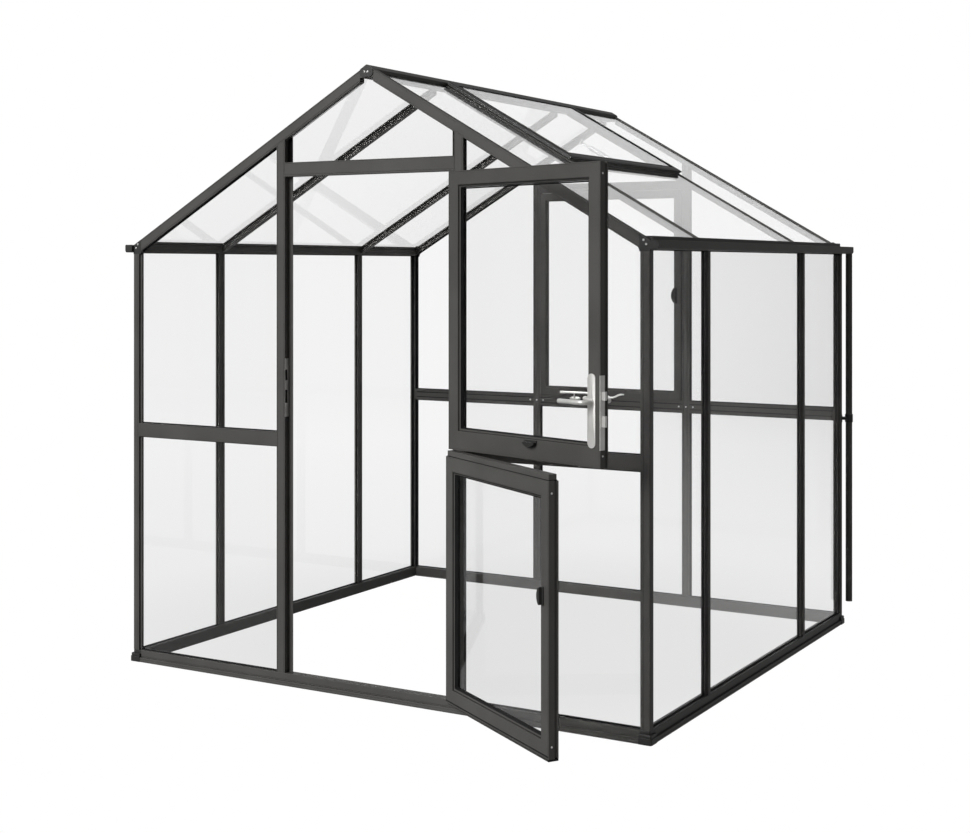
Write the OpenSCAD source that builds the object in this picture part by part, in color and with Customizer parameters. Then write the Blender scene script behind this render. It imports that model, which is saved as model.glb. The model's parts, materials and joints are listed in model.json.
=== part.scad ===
/* [House] */
// Width over the two side walls
house_w = 2340; // [2100:10:3000]
// Depth over the front and rear walls
house_d = 2155; // [1800:5:3000]
// Height of the roof line above the outer face of the side walls
wall_z = 1727; // [1700:1:1900]
// Slope of the roof in degrees
pitch = 30; // [24:1:34]

/* [Wall frame] */
// Height of the sill, the black corner castings reach as high
sill_h = 48; // [40:1:80]
// Height of the sill's foot
foot_h = 19; // [10:1:22]
// How far the foot stands out past the wall
foot_out = 8; // [0:1:15]
// Height of the wide part of the corner castings
casting_h = 34; // [24:1:38]
// How far the corner castings stand out past the wall
casting_out = 10; // [0:1:20]
// Face width of a corner post without its glazing flange
post_face = 30; // [24:1:50]
// Width of the glazing flange of a corner post
post_flange = 10; // [6:1:16]
// Depth of the other wall bars, from the outside to the inside
wall_t = 28; // [26:1:40]
// Face width of a side wall post without its flanges
side_post_w = 24; // [16:1:40]
// Width of each flange of a side wall post
side_flange = 8; // [5:1:16]
// Face width of the door posts and of the rear posts
door_post_w = 40; // [30:1:60]
// Height of the mid rails' underside above the ground
rail_z = 934; // [800:1:1100]
// Height of a mid rail
rail_h = 56; // [40:1:80]
// Thickness of the glass
glass_t = 4; // [3:1:6]

/* [Doorway] */
// Clear width between the door posts
door_w = 772; // [700:1:900]
// Height of the door header's underside
header_z = 1989; // [1900:1:2040]
// Height of the door header
header_h = 56; // [40:1:60]
// Width of the stop flange behind the leaves
stop_w = 20; // [12:1:26]
// Running gap between the leaves and what is around them
door_gap = 5; // [5:1:8]
// Gap between the sill and the lower leaf
threshold_gap = 8; // [5:1:12]
// Thickness of the two door leaves
leaf_t = 38; // [34:1:44]
// Face width of the leaves' stiles
leaf_stile = 60; // [56:1:80]
// Face width of the leaves' ordinary rails
leaf_rail = 62; // [50:1:80]
// Face width of the upper leaf's bottom rail
upper_foot = 78; // [60:1:100]
// Top of the lower leaf's frame
lower_top = 950; // [900:1:1000]
// Height of the weather bar on the lower leaf
weather_h = 21; // [10:1:30]
// How far the upper leaf stands open in degrees
upper_open = 162; // [90:1:170]
// How far the lower leaf stands open in degrees
lower_open = 147; // [90:1:170]

/* [Lock] */
// Height of the lever's spindle
spindle_z = 1192; // [1100:1:1300]
// Distance from the free edge to the spindle
backset = 38; // [36:1:45]
// Length of the lever plates
plate_l = 246; // [200:1:280]
// Width of the lever plates
plate_w = 36; // [30:1:40]
// How far the latch and the bolt stand out of the leaf's edge
throw = 16; // [12:1:18]
// Length of the inner lever from its spindle
inner_lever = 116; // [90:1:140]
// Length of the outer lever from its spindle
outer_lever = 128; // [90:1:150]

/* [Rear window] */
// Face width of the sash's stiles and top rail
sash_face = 40; // [34:1:60]
// Face width of the sash's bottom rail
sash_foot = 46; // [34:1:60]
// Depth of the sash
sash_t = 30; // [26:1:40]
// Height of the rear header's underside
rear_header_z = 2010; // [1900:1:2040]
// Height of the rear header
rear_header_h = 42; // [30:1:56]

/* [Roof] */
// Depth of a rafter below the roof line
rafter_h = 40; // [30:1:60]
// Width of a middle rafter without its ledges
rafter_w = 24; // [16:1:40]
// Width of the ledges that carry the roof glass
ledge_w = 8; // [5:1:15]
// Depth of the glass surface below the roof line
glass_drop = 10; // [6:1:16]
// Half the width of the ridge beam
ridge_half = 30; // [20:1:40]
// Height of the ridge beam
ridge_h = 48; // [40:1:70]
// Height of an eave beam
eave_h = 47; // [36:1:70]
// Width of an eave beam
eave_w = 40; // [30:1:50]
// How far the gutters stand out of the walls
gutter_out = 37; // [25:1:60]
// Height of the gutters
gutter_h = 32; // [25:1:45]
// Wall thickness of the gutters
gutter_wall = 3; // [2:1:5]
// How far the gutters run past the rear wall
gutter_tail = 54; // [45:1:80]
// How far the gutters run past the front wall
gutter_nose = 10; // [0:1:30]
// Diameter of the downpipes
pipe_d = 30; // [20:1:34]
// Height of the downpipes' lower ends above the ground
pipe_z = 97; // [50:1:200]
// Slope length of the roof vent's frame
vent_l = 652; // [500:1:900]
// Height of the roof vent's frame above the roof line
vent_h = 18; // [14:1:30]
// Face width of the roof vent's frame
vent_face = 36; // [28:1:50]
// Width of the trimmer bar under the vent's lower edge
trimmer_w = 28; // [20:1:40]

/* [Hidden] */
$fn = 48;

anthracite = "#403f3d";
casting_black = "#222222";
clear_glass = [0.86, 0.9, 0.9, 0.35];
lever_silver = "#c8c6c2";

half_w = house_w / 2;
corner_w = post_face + post_flange;
half_door = door_w / 2;
post_out = half_door + door_post_w;
ridge_z = wall_z + half_w * tan(pitch);

// Set-back of the glazing flanges from the outer wall face, and their thickness
flange_set = 8;
flange_t = 6;
pane_y = flange_set + flange_t;
pane_x = half_w - pane_y - glass_t;

// The stop flange behind the leaves ends level with the wall bars' inner face
stop_t = 3;
stop_y = wall_t - stop_t;

// Groove between the sill's foot and its upper part
groove_h = 4;
groove_in = 3;

// Eave beams hang this far above the roof line at the wall's outer face
eave_rise = 17;
eave_top = wall_z + eave_rise;
eave_z = eave_top - eave_h;
eave_x = half_w - eave_w;
bracket_drop = 7;
post_top = eave_z - bracket_drop;
fillet_r = 24;

rafter_drop = rafter_h / cos(pitch);
// The ledges under the roof glass, square to the roof
ledge_high = -glass_drop - glass_t;
ledge_low = ledge_high - 4;
ridge_cap = 2;
ridge_plate_t = 3;

// The side walls have a narrow bay, a wide bay and a narrow bay
bay_ys = [house_d / 4, house_d * 3 / 4];
rafter_half = rafter_w / 2;
// Where the bays begin and end between bars of a given half width
function bays(half, end = post_face) = [[end, bay_ys[0] - half],
    [bay_ys[0] + half, bay_ys[1] - half], [bay_ys[1] + half, house_d - end]];

// Beads that hold the glass in the framed panels
bead_w = 8;
bead_set = 6;
seat_gap = 0.3;

// Leaves in the closed position, the hinge axis stands in front of the right post
leaf_edge = half_door - door_gap;
leaf_w = 2 * leaf_edge;
leaf_in = stop_y - door_gap;
leaf_y = leaf_in - leaf_t;
hinge_side = 12;
hinge_out = 2;
hinge_x = half_door + hinge_side;
hinge_y = leaf_y - hinge_out;
lower_z = sill_h + threshold_gap;
lower_h = lower_top - lower_z;
upper_z = lower_top + weather_h + door_gap;
upper_h = header_z - door_gap - upper_z;
// How far the weather bar stays back from the leaf's edges and faces
weather_set = [6, 4];

hinge_r = 8;
hinge_pin_r = 4;
hinge_l = 80;
hinge_inset = 84;
hinge_play = 0.05;
hinge_slack = 0.5;
flap_t = 3;
flap_l = 57;
flap_set = 2;
web_half = 6;
hinge_zs = [lower_z + hinge_inset, lower_top - hinge_inset - hinge_l,
    upper_z + hinge_inset, upper_z + upper_h - hinge_inset - hinge_l];
lower_hinge_zs = [hinge_zs[0], hinge_zs[1]];
upper_hinge_zs = [hinge_zs[2], hinge_zs[3]];

spindle_x = -leaf_edge + backset;
spindle_r = 4.5;
spindle_play = 0.1;
face_plate = [3, 22, plate_l];
face_plate_z = spindle_z - 157;
lock_y = leaf_in - face_plate[1] / 2;
case_size = [46, 16, 200];
case_z = spindle_z - 132;
slide_play = 0.3;
latch_h = 29;
latch_z = spindle_z + 22;
bolt_h = 37;
bolt_z = spindle_z - 62;
slider_t = 9;
slider_l = 41;
slider_room = 16.5;
plate_t = 3;
plate_z = spindle_z - 152;
strike_l = 229;
strike_z = spindle_z - 142;
strike_w = 24;
strike_t = 3;
strike_y = stop_y - strike_w - 0.5;
keep_play = 6.5;
keep_deep = throw + 2;
keep_y = lock_y - slider_t / 2 - 1.5;
keep_w = 16;

// Levers: collar and neck, and how far the grips stand off the plates
lever_r = 10;
grip_r = 8;
inner_neck = 40;
outer_neck = 52;

// Turn catches: base plate, knob, and the places of the three catches
catch_base = [10, 4];
catch_knob = 12;
catch_root = 4;
catch_end = 2;
catch_set = 12;
small_catch = [61, 14];
window_catch_size = [76, 16];
lower_catch_up = 520;
upper_catch_x = -52;

gutter_x = half_w + gutter_out;
gutter_end_t = 3;
pipe_x = half_w + gutter_out - pipe_d / 2 - 2;
pipe_y = house_d + gutter_tail - pipe_d / 2 - 2;
clamp_z = 922;
clamp_h = 36;
clamp_wall = 3;

vent_u0 = ridge_half / cos(pitch) + 1.5;
vent_u1 = vent_u0 + vent_l;
vent_over = rafter_half - 4;
vent_w = bay_ys[1] - bay_ys[0] + 2 * vent_over;
vent_bead = 4;

// Vent opener: depth of its axis below the roof line, cylinder and rod
opener_w = -22;
opener_half = 28;
opener_r = 11;
opener_l = 150;
opener_rod_r = 4;
opener_rod_l = 40;

sash_gap = 3;
sash_z = rail_z + rail_h + seat_gap;
sash_w = door_w - 2 * sash_gap;
sash_h = rear_header_z - 2 - sash_z;
sash_y = 4;

// Casement stay: bar, pivot seat and peg, with heights measured up from the sash's lower edge
stay_x = [-266, 10];
stay_z = [12, 24];
stay_t = 5;
stay_seat_t = 3;
stay_tail_l = 79;
peg_x = -187;
peg_half = 31;
peg_drop = 24;

// Height of the rafters' underside at a distance x from the middle
function under(x) = ridge_z - rafter_drop - abs(x) * tan(pitch);
// Height of the roof line at a distance x from the middle
function roof(x) = ridge_z - abs(x) * tan(pitch);

module both_sides() {
    children();
    mirror([1, 0, 0]) children();
}

module at_rear() {
    translate([0, house_d, 0]) mirror([0, 1, 0]) children();
}

module both_ends() {
    children();
    at_rear() children();
}

// A box given by its lowest and highest corners
module block(low, high) {
    translate(low) cube(high - low);
}

// A flat outline in X and Z, given thickness from y0 to y1
module upright(y0, y1) {
    translate([0, y1, 0]) rotate([90, 0, 0]) linear_extrude(y1 - y0) children();
}

// Children's X runs down the right slope from the ridge, Z stands square to the roof
module on_right_slope() {
    translate([0, 0, ridge_z]) rotate([0, pitch, 0]) children();
}

// A layer of the right slope between two depths square to the roof, cut plumb
// at x0 and x1
module slope_layer(x0, x1, y0, y1, low, high) {
    intersection() {
        on_right_slope() block([-house_w, y0, low], [house_w, y1, high]);
        block([x0, y0, 0], [x1, y1, 2 * ridge_z]);
    }
}

// ---- walls ----

module sill_outline() {
    polygon([[-foot_out, 0], [corner_w, 0], [corner_w, sill_h], [0, sill_h],
        [0, foot_h + groove_h], [groove_in, foot_h + groove_h], [groove_in, foot_h],
        [-foot_out, foot_h]]);
}

module gable_sill() {
    translate([corner_w - half_w, 0, 0])
        rotate([90, 0, 90]) linear_extrude(house_w - 2 * corner_w) sill_outline();
}

module front_sill() {
    color(anthracite) gable_sill();
}

module rear_sill() {
    color(anthracite) at_rear() gable_sill();
}

module side_sills() {
    color(anthracite) both_sides()
        translate([half_w, house_d - corner_w, 0]) rotate([90, 0, 0])
            linear_extrude(house_d - 2 * corner_w) mirror([1, 0]) sill_outline();
}

module base_corners() {
    color(casting_black) both_sides() both_ends() {
        block([half_w - corner_w, -casting_out, 0],
            [half_w + casting_out, corner_w, casting_h]);
        block([half_w - corner_w, 0, casting_h], [half_w, corner_w, sill_h]);
    }
}

module corner_posts() {
    color(anthracite) both_sides() both_ends() {
        block([half_w - post_face, 0, sill_h], [half_w, post_face, post_top]);
        block([half_w - corner_w, flange_set, sill_h],
            [half_w - post_face, pane_y, post_top]);
        block([half_w - pane_y, post_face, sill_h],
            [half_w - flange_set, corner_w, post_top]);
    }
}

module side_wall_posts() {
    flange_half = side_post_w / 2 + side_flange;
    color(anthracite) both_sides() for (y = bay_ys) {
        block([half_w - wall_t, y - side_post_w / 2, sill_h],
            [half_w, y + side_post_w / 2, eave_z]);
        block([half_w - pane_y, y - flange_half, sill_h],
            [half_w - flange_set, y + flange_half, eave_z]);
    }
}

// A post of the gable walls whose top meets the rafter's underside
module gable_post(x0, x1, y0, y1) {
    upright(y0, y1) polygon([[x0, sill_h], [x1, sill_h], [x1, under(x1)], [x0, under(x0)]]);
}

module door_posts() {
    color(anthracite) difference() {
        both_sides() {
            gable_post(half_door, post_out, 0, wall_t);
            gable_post(half_door - stop_w, half_door, stop_y, wall_t);
        }
        strike_block();
        keep_pocket(latch_z, latch_h);
        keep_pocket(bolt_z, bolt_h);
    }
}

module strike_block() {
    block([-half_door - strike_t, strike_y, strike_z],
        [-half_door, strike_y + strike_w, strike_z + strike_l]);
}

// The room for the latch or the bolt behind the strike plate
module keep_pocket(z, h) {
    block([-half_door - keep_deep, keep_y, z - h / 2 - keep_play],
        [-half_door, keep_y + keep_w, z + h / 2 + keep_play]);
}

module rear_posts() {
    color(anthracite) at_rear() both_sides() gable_post(half_door, post_out, 0, wall_t);
}

module door_header() {
    color(anthracite) {
        block([-half_door, 0, header_z], [half_door, stop_y, header_z + header_h]);
        block([stop_w - half_door, stop_y, header_z],
            [half_door - stop_w, wall_t, header_z + header_h]);
    }
}

module rear_header() {
    color(anthracite) at_rear() block([-half_door, 0, rear_header_z],
        [half_door, wall_t, rear_header_z + rear_header_h]);
}

// A mid rail beside the doorway, notched around the corner post's flange
module side_bay_rails() {
    both_sides() difference() {
        block([post_out, 0, rail_z], [half_w - post_face, wall_t, rail_z + rail_h]);
        block([half_w - corner_w, flange_set, 0], [half_w, pane_y, post_top]);
    }
}

module front_mid_rails() {
    color(anthracite) side_bay_rails();
}

module rear_mid_rails() {
    color(anthracite) at_rear() {
        side_bay_rails();
        block([-half_door, 0, rail_z], [half_door, wall_t, rail_z + rail_h]);
    }
}

// ---- roof frame ----

module eave_beams() {
    color(anthracite) both_sides() {
        block([eave_x, post_face, eave_z], [half_w, house_d - post_face, eave_top]);
        for (bay = bays(rafter_half + ledge_w, post_face + ledge_w))
            slope_layer(eave_x - ledge_w, eave_x + ledge_w, bay[0], bay[1], ledge_low, ledge_high);
    }
}

// Cast corner between post, rafter and eave beam, with a hollow fillet inside
module eave_brackets() {
    bend = fillet_r / tan(90 - (90 - pitch) / 2);
    arc_x = eave_x - fillet_r;
    color(casting_black) both_sides() both_ends() {
        upright(0, post_face) polygon([[half_w - post_face, post_top], [half_w, post_top],
            [half_w, roof(half_w)], [eave_x, roof(eave_x)], [eave_x, under(eave_x)],
            [half_w - post_face, under(half_w - post_face)]]);
        upright(0, flange_set) difference() {
            polygon([[half_w - post_face, post_top], [half_w - post_face, under(eave_x - bend)],
                [eave_x - bend, under(eave_x - bend)], [eave_x - bend, post_top]]);
            polygon([[eave_x, under(eave_x)], [eave_x - 2 * bend, under(eave_x - 2 * bend)],
                [half_w, under(eave_x - 2 * bend)], [half_w, under(half_w)]]);
            translate([arc_x, under(eave_x) - bend]) circle(fillet_r);
        }
    }
}

module gable_rafters() {
    color(anthracite) both_sides() both_ends() {
        slope_layer(ridge_half, eave_x, 0, post_face, -rafter_h, 0);
        slope_layer(ridge_half, eave_x, post_face - ledge_w, post_face + ledge_w,
            ledge_low, ledge_high);
    }
}

module middle_rafters() {
    color(anthracite) both_sides() for (y = bay_ys) {
        slope_layer(ridge_half, eave_x, y - rafter_half, y + rafter_half, -rafter_h, 0);
        slope_layer(ridge_half, eave_x, y - rafter_half - ledge_w,
            y + rafter_half + ledge_w, ledge_low, ledge_high);
    }
}

module ridge_outline() {
    polygon([[-ridge_half, ridge_z - ridge_h], [ridge_half, ridge_z - ridge_h],
        [ridge_half, roof(ridge_half) + ridge_cap], [0, ridge_z + ridge_cap],
        [-ridge_half, roof(ridge_half) + ridge_cap]]);
}

module ridge_beam() {
    color(anthracite) upright(0, house_d) ridge_outline();
}

module ridge_plates() {
    color(casting_black) both_ends() upright(-ridge_plate_t, 0) ridge_outline();
}

module gutters() {
    color(anthracite) both_sides() {
        block([half_w, gutter_end_t - gutter_nose, eave_z],
            [gutter_x, house_d + gutter_tail - gutter_end_t, eave_z + gutter_wall]);
        block([gutter_x - gutter_wall, gutter_end_t - gutter_nose, eave_z],
            [gutter_x, house_d + gutter_tail - gutter_end_t, eave_z + gutter_h]);
    }
}

module gutter_ends() {
    color(casting_black) both_sides() {
        block([half_w, -gutter_nose, eave_z],
            [gutter_x, gutter_end_t - gutter_nose, eave_z + gutter_h]);
        block([half_w, house_d + gutter_tail - gutter_end_t, eave_z],
            [gutter_x, house_d + gutter_tail, eave_z + gutter_h]);
    }
}

module downpipes() {
    color(anthracite) both_sides() translate([pipe_x, pipe_y, pipe_z])
        cylinder(d = pipe_d, h = eave_z - pipe_z);
}

// A ring round each downpipe with an arm and a foot on the rear corner post
module pipe_clamps() {
    color(casting_black) both_sides() difference() {
        union() {
            translate([pipe_x, pipe_y, clamp_z])
                cylinder(r = pipe_d / 2 + clamp_wall, h = clamp_h);
            block([half_w - post_face, house_d, clamp_z],
                [half_w, house_d + clamp_wall, clamp_z + clamp_h]);
            block([half_w - post_face / 2, house_d, clamp_z + clamp_h / 3],
                [pipe_x, pipe_y, clamp_z + clamp_h * 2 / 3]);
        }
        translate([pipe_x, pipe_y, 0]) cylinder(d = pipe_d, h = eave_z);
    }
}

// ---- glass ----

// A pane of a gable wall with its top edge under the rafter
module raked_pane(x0, x1, z0) {
    upright(pane_y, pane_y + glass_t)
        polygon([[x0, z0], [x1, z0], [x1, under(x1)], [x0, under(x0)]]);
}

module side_bay_panes() {
    both_sides() {
        block([post_out, pane_y, sill_h], [half_w - post_face, pane_y + glass_t, rail_z]);
        raked_pane(post_out, half_w - post_face, rail_z + rail_h);
    }
}

module front_wall_glass() {
    color(clear_glass) side_bay_panes();
}

module rear_wall_glass() {
    color(clear_glass) at_rear() {
        side_bay_panes();
        block([-half_door, pane_y, sill_h], [half_door, pane_y + glass_t, rail_z]);
    }
}

module side_wall_glass() {
    color(clear_glass) both_sides() for (bay = bays(side_post_w / 2))
        block([pane_x, bay[0], sill_h], [pane_x + glass_t, bay[1], eave_z]);
}

// The five-sided pane over the header, between the door posts
module gable_pane(z0, y0) {
    upright(y0, y0 + glass_t) polygon([[-half_door, z0], [half_door, z0],
        [half_door, under(half_door)], [ridge_half, under(ridge_half)],
        [ridge_half, ridge_z - ridge_h], [-ridge_half, ridge_z - ridge_h],
        [-ridge_half, under(ridge_half)], [-half_door, under(half_door)]]);
}

module gable_glass() {
    color(clear_glass) {
        gable_pane(header_z + header_h, stop_y - glass_t);
        at_rear() gable_pane(rear_header_z + rear_header_h, pane_y);
    }
}

module roof_pane(bay) {
    slope_layer(ridge_half, eave_x, bay[0], bay[1], ledge_high, -glass_drop);
}

module left_roof_glass() {
    color(clear_glass) mirror([1, 0, 0]) for (bay = bays(rafter_half)) roof_pane(bay);
}

module right_roof_glass() {
    color(clear_glass) difference() {
        for (bay = bays(rafter_half)) roof_pane(bay);
        on_right_slope() block([0, bay_ys[0], -house_w], [vent_u1, bay_ys[1], house_w]);
    }
}

// ---- framed panels ----

// A panel's upright bar with its bead, the bead on the +X side
module stile(h, face, depth, foot, head) {
    cube([face - bead_w, depth, h]);
    translate([face - bead_w, bead_set, foot])
        cube([bead_w, depth - 2 * bead_set, h - foot - head]);
}

module stiles(w, h, face, depth, foot, head) {
    stile(h, face, depth, foot, head);
    translate([w, 0, 0]) mirror([1, 0, 0]) stile(h, face, depth, foot, head);
}

// A panel's level bar with its bead, the bead on the +Z side
module rail(l, face, depth) {
    cube([l, depth, face - bead_w]);
    translate([0, bead_set, face - bead_w]) cube([l, depth - 2 * bead_set, bead_w]);
}

module rails(w, h, face, depth, foot, head) {
    between = w - 2 * (face - bead_w);
    translate([face - bead_w, 0, 0]) rail(between, foot, depth);
    translate([face - bead_w, 0, h]) mirror([0, 0, 1]) rail(between, head, depth);
}

module panel_glass(w, h, face, depth, foot, head) {
    translate([face, (depth - glass_t) / 2, foot])
        cube([w - 2 * face, glass_t, h - foot - head]);
}

// ---- roof vent ----

// The vent's own plane: X along the house, Z down the slope, Y out of the roof
module in_vent() {
    on_right_slope() rotate([90, 0, 90]) translate([bay_ys[0] - vent_over, 0, vent_u0])
        children();
}

module vent_stiles() {
    color(anthracite) in_vent() for (x = [0, vent_w - vent_face])
        translate([x, 0, 0]) cube([vent_face, vent_h, vent_l]);
}

module vent_rails() {
    color(anthracite) in_vent() for (z = [0, vent_l - vent_face])
        translate([vent_face, 0, z]) cube([vent_w - 2 * vent_face, vent_h, vent_face]);
}

module vent_glass() {
    color(clear_glass) in_vent() translate([vent_face, vent_bead, vent_face])
        cube([vent_w - 2 * vent_face, glass_t, vent_l - 2 * vent_face]);
}

module vent_trimmer() {
    y0 = bay_ys[0] + rafter_half;
    y1 = bay_ys[1] - rafter_half;
    color(anthracite) on_right_slope() {
        difference() {
            block([vent_u1 - trimmer_w, y0, -rafter_h], [vent_u1, y1, 0]);
            for (y = [y0, y1 - ledge_w])
                block([0, y, ledge_low], [house_w, y + ledge_w, ledge_high]);
        }
        block([vent_u1, y0 + ledge_w, ledge_low], [vent_u1 + ledge_w, y1 - ledge_w, ledge_high]);
    }
}

// Piston opener on the trimmer: a foot plate, a cylinder, its rod and a crooked arm
module vent_opener() {
    mid = house_d / 2;
    foot_u = vent_u1 - trimmer_w;
    body_u = foot_u - 30;
    rod_u = body_u - opener_l;
    eye_u = rod_u - opener_rod_l;
    color(lever_silver) on_right_slope() {
        block([foot_u - 5, mid - opener_half, 4 - rafter_h], [foot_u, mid + opener_half, -6]);
        block([body_u - 4, mid - 6, opener_w - 8], [foot_u - 5, mid + 6, opener_w + 8]);
        translate([body_u, mid, opener_w]) rotate([0, -90, 0])
            cylinder(r = opener_r, h = opener_l);
        translate([rod_u, mid, opener_w]) rotate([0, -90, 0])
            cylinder(r = opener_rod_r, h = opener_rod_l);
        block([eye_u - 6, mid - 10, opener_w - 8], [eye_u + 4, mid + 10, opener_w + 12]);
    }
}

// ---- rear window ----

module in_sash() {
    at_rear() translate([-sash_w / 2, sash_y, sash_z]) children();
}

module window_stiles() {
    color(anthracite) in_sash() stiles(sash_w, sash_h, sash_face, sash_t, sash_foot, sash_face);
}

module window_rails() {
    color(anthracite) in_sash() rails(sash_w, sash_h, sash_face, sash_t, sash_foot, sash_face);
}

module window_glass() {
    color(clear_glass) in_sash()
        panel_glass(sash_w, sash_h, sash_face, sash_t, sash_foot, sash_face);
}

// D-shaped turn catch, lying on its base in the XZ plane, handle to the -X side
module turn_catch(size) {
    l = size[0];
    out = size[1];
    bow_r = (l * l / 4 + out * out) / (2 * out);
    block([0, 0, -l / 2], [catch_base[0], catch_base[1], l / 2]);
    intersection() {
        translate([bow_r - out, catch_base[1], 0]) rotate([-90, 0, 0])
            cylinder(r = bow_r, h = catch_knob);
        block([-2 * out, catch_base[1], catch_end - l / 2],
            [catch_root, catch_base[1] + catch_knob, l / 2 - catch_end]);
    }
}

module window_catch() {
    color(casting_black) at_rear()
        translate([sash_w / 2 - sash_face + bead_w + 2, sash_y + sash_t, sash_z + sash_h / 2])
            turn_catch(window_catch_size);
}

// Casement stay: a bar pinned to the sash, held by a peg on the mid rail, with a curled tail
module window_stay() {
    y0 = sash_y + sash_t;
    y1 = y0 + stay_seat_t;
    y2 = y1 + stay_t;
    color(lever_silver) at_rear() {
        block([stay_x[0], y1, sash_z + stay_z[0]], [stay_x[1], y2, sash_z + stay_z[1]]);
        block([stay_x[0] + 10, y0, sash_z + stay_z[0]],
            [stay_x[0] + 22, y1, sash_z + stay_z[1]]);
        block([peg_x - peg_half, wall_t, rail_z + rail_h - peg_drop],
            [peg_x + peg_half, y2, rail_z + rail_h - 2]);
        block([peg_x - 4, y1, rail_z + rail_h - 2], [peg_x + 4, y2, sash_z + stay_z[0]]);
        translate([stay_x[1], 0, sash_z]) upright(y1, y2) stay_tail();
    }
}

// Dips below the bar, rises again and ends level
module stay_tail() {
    low = stay_z[0];
    high = stay_z[1];
    polygon([[0, high], [0, low], [8, low - 16], [34, low - 16], [48, low + 2],
        [stay_tail_l, low + 2], [stay_tail_l, high - 2], [44, high - 2], [30, low - 7],
        [12, low - 7], [6, high]]);
}

// ---- stable door ----

module swing(angle) {
    translate([hinge_x, hinge_y, 0]) rotate([0, 0, angle])
        translate([-hinge_x, -hinge_y, 0]) children();
}

module in_upper() {
    translate([-leaf_edge, leaf_y, upper_z]) children();
}

module in_lower() {
    translate([-leaf_edge, leaf_y, lower_z]) children();
}

module post_hinges() {
    half = hinge_l / 2;
    color(anthracite) for (z = hinge_zs) {
        translate([hinge_x, hinge_y, z]) cylinder(r = hinge_r, h = half);
        translate([hinge_x, hinge_y, z + half]) cylinder(r = hinge_pin_r, h = half - 2);
        block([hinge_x - web_half, hinge_y, z], [hinge_x + web_half, 0, z + half]);
        block([hinge_x - web_half, -flap_t, z], [post_out - flap_set, 0, z + half]);
    }
}

module leaf_hinge(z) {
    half = hinge_l / 2;
    difference() {
        union() {
            translate([hinge_x, hinge_y, z + half + hinge_slack])
                cylinder(r = hinge_r, h = half - hinge_slack);
            block([hinge_x - flap_l, leaf_y - flap_t, z + half + flap_set],
                [hinge_x, leaf_y, z + hinge_l]);
        }
        translate([hinge_x, hinge_y, z]) cylinder(r = hinge_pin_r + hinge_play, h = hinge_l + 1);
    }
}

module upper_door_hinges() {
    color(anthracite) swing(upper_open) for (z = upper_hinge_zs) leaf_hinge(z);
}

module lower_door_hinges() {
    color(anthracite) swing(lower_open) for (z = lower_hinge_zs) leaf_hinge(z);
}

module strike_plate() {
    color(lever_silver) difference() {
        strike_block();
        keep_pocket(latch_z, latch_h);
        keep_pocket(bolt_z, bolt_h);
    }
}

module case_block() {
    block([-leaf_edge, lock_y - face_plate[1] / 2, face_plate_z],
        [face_plate[0] - leaf_edge, lock_y + face_plate[1] / 2, face_plate_z + face_plate[2]]);
    block([-leaf_edge, lock_y - case_size[1] / 2, case_z],
        [case_size[0] - leaf_edge, lock_y + case_size[1] / 2, case_z + case_size[2]]);
}

// A sliding latch or bolt of the lock, bigger all round by the play
module slider(z, h, play) {
    x1 = slider_l - throw - leaf_edge;
    block([-leaf_edge - throw, lock_y - slider_t / 2 - play, z - h / 2 - play],
        [x1 + (play > 0 ? slider_room : 0), lock_y + slider_t / 2 + play, z + h / 2 + play]);
}

module spindle_hole(r) {
    translate([spindle_x, leaf_y - leaf_t, spindle_z]) rotate([-90, 0, 0])
        cylinder(r = r, h = 3 * leaf_t);
}

module upper_door_stiles() {
    color(anthracite) swing(upper_open) difference() {
        in_upper() stiles(leaf_w, upper_h, leaf_stile, leaf_t, upper_foot, leaf_rail);
        case_block();
        spindle_hole(spindle_r + 2);
    }
}

module upper_door_rails() {
    color(anthracite) swing(upper_open) in_upper()
        rails(leaf_w, upper_h, leaf_stile, leaf_t, upper_foot, leaf_rail);
}

module upper_door_glass() {
    color(clear_glass) swing(upper_open) in_upper()
        panel_glass(leaf_w, upper_h, leaf_stile, leaf_t, upper_foot, leaf_rail);
}

module upper_door_catch() {
    color(casting_black) swing(upper_open)
        translate([upper_catch_x, leaf_in, upper_z + upper_foot - bead_w - catch_set])
            rotate([0, -90, 0]) turn_catch(small_catch);
}

module lock_case() {
    color(lever_silver) swing(upper_open) difference() {
        case_block();
        slider(latch_z, latch_h, slide_play);
        slider(bolt_z, bolt_h, slide_play);
        spindle_hole(spindle_r + spindle_play);
    }
}

module latch() {
    color(lever_silver) swing(upper_open) slider(latch_z, latch_h, 0);
}

module lock_bolt() {
    color(lever_silver) swing(upper_open) slider(bolt_z, bolt_h, 0);
}

module plate_outline() {
    translate([-plate_w / 2, plate_w / 2]) square([plate_w, plate_l - plate_w]);
    for (z = [plate_w / 2, plate_l - plate_w / 2]) translate([0, z]) circle(d = plate_w);
}

module lever_plates() {
    color(lever_silver) swing(upper_open) difference() {
        translate([spindle_x, 0, plate_z]) {
            upright(leaf_in, leaf_in + plate_t) plate_outline();
            upright(leaf_y - plate_t, leaf_y) plate_outline();
        }
        spindle_hole(spindle_r + spindle_play);
    }
}

// One lever: a neck square to the leaf and a round grip towards the hinges
module lever(l, neck) {
    rotate([-90, 0, 0]) cylinder(r = lever_r, h = neck);
    translate([0, neck, 0]) sphere(r = lever_r);
    translate([0, neck, 0]) rotate([0, 90, 0]) cylinder(r = grip_r, h = l - grip_r);
    translate([l - grip_r, neck, 0]) sphere(r = grip_r);
}

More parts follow.
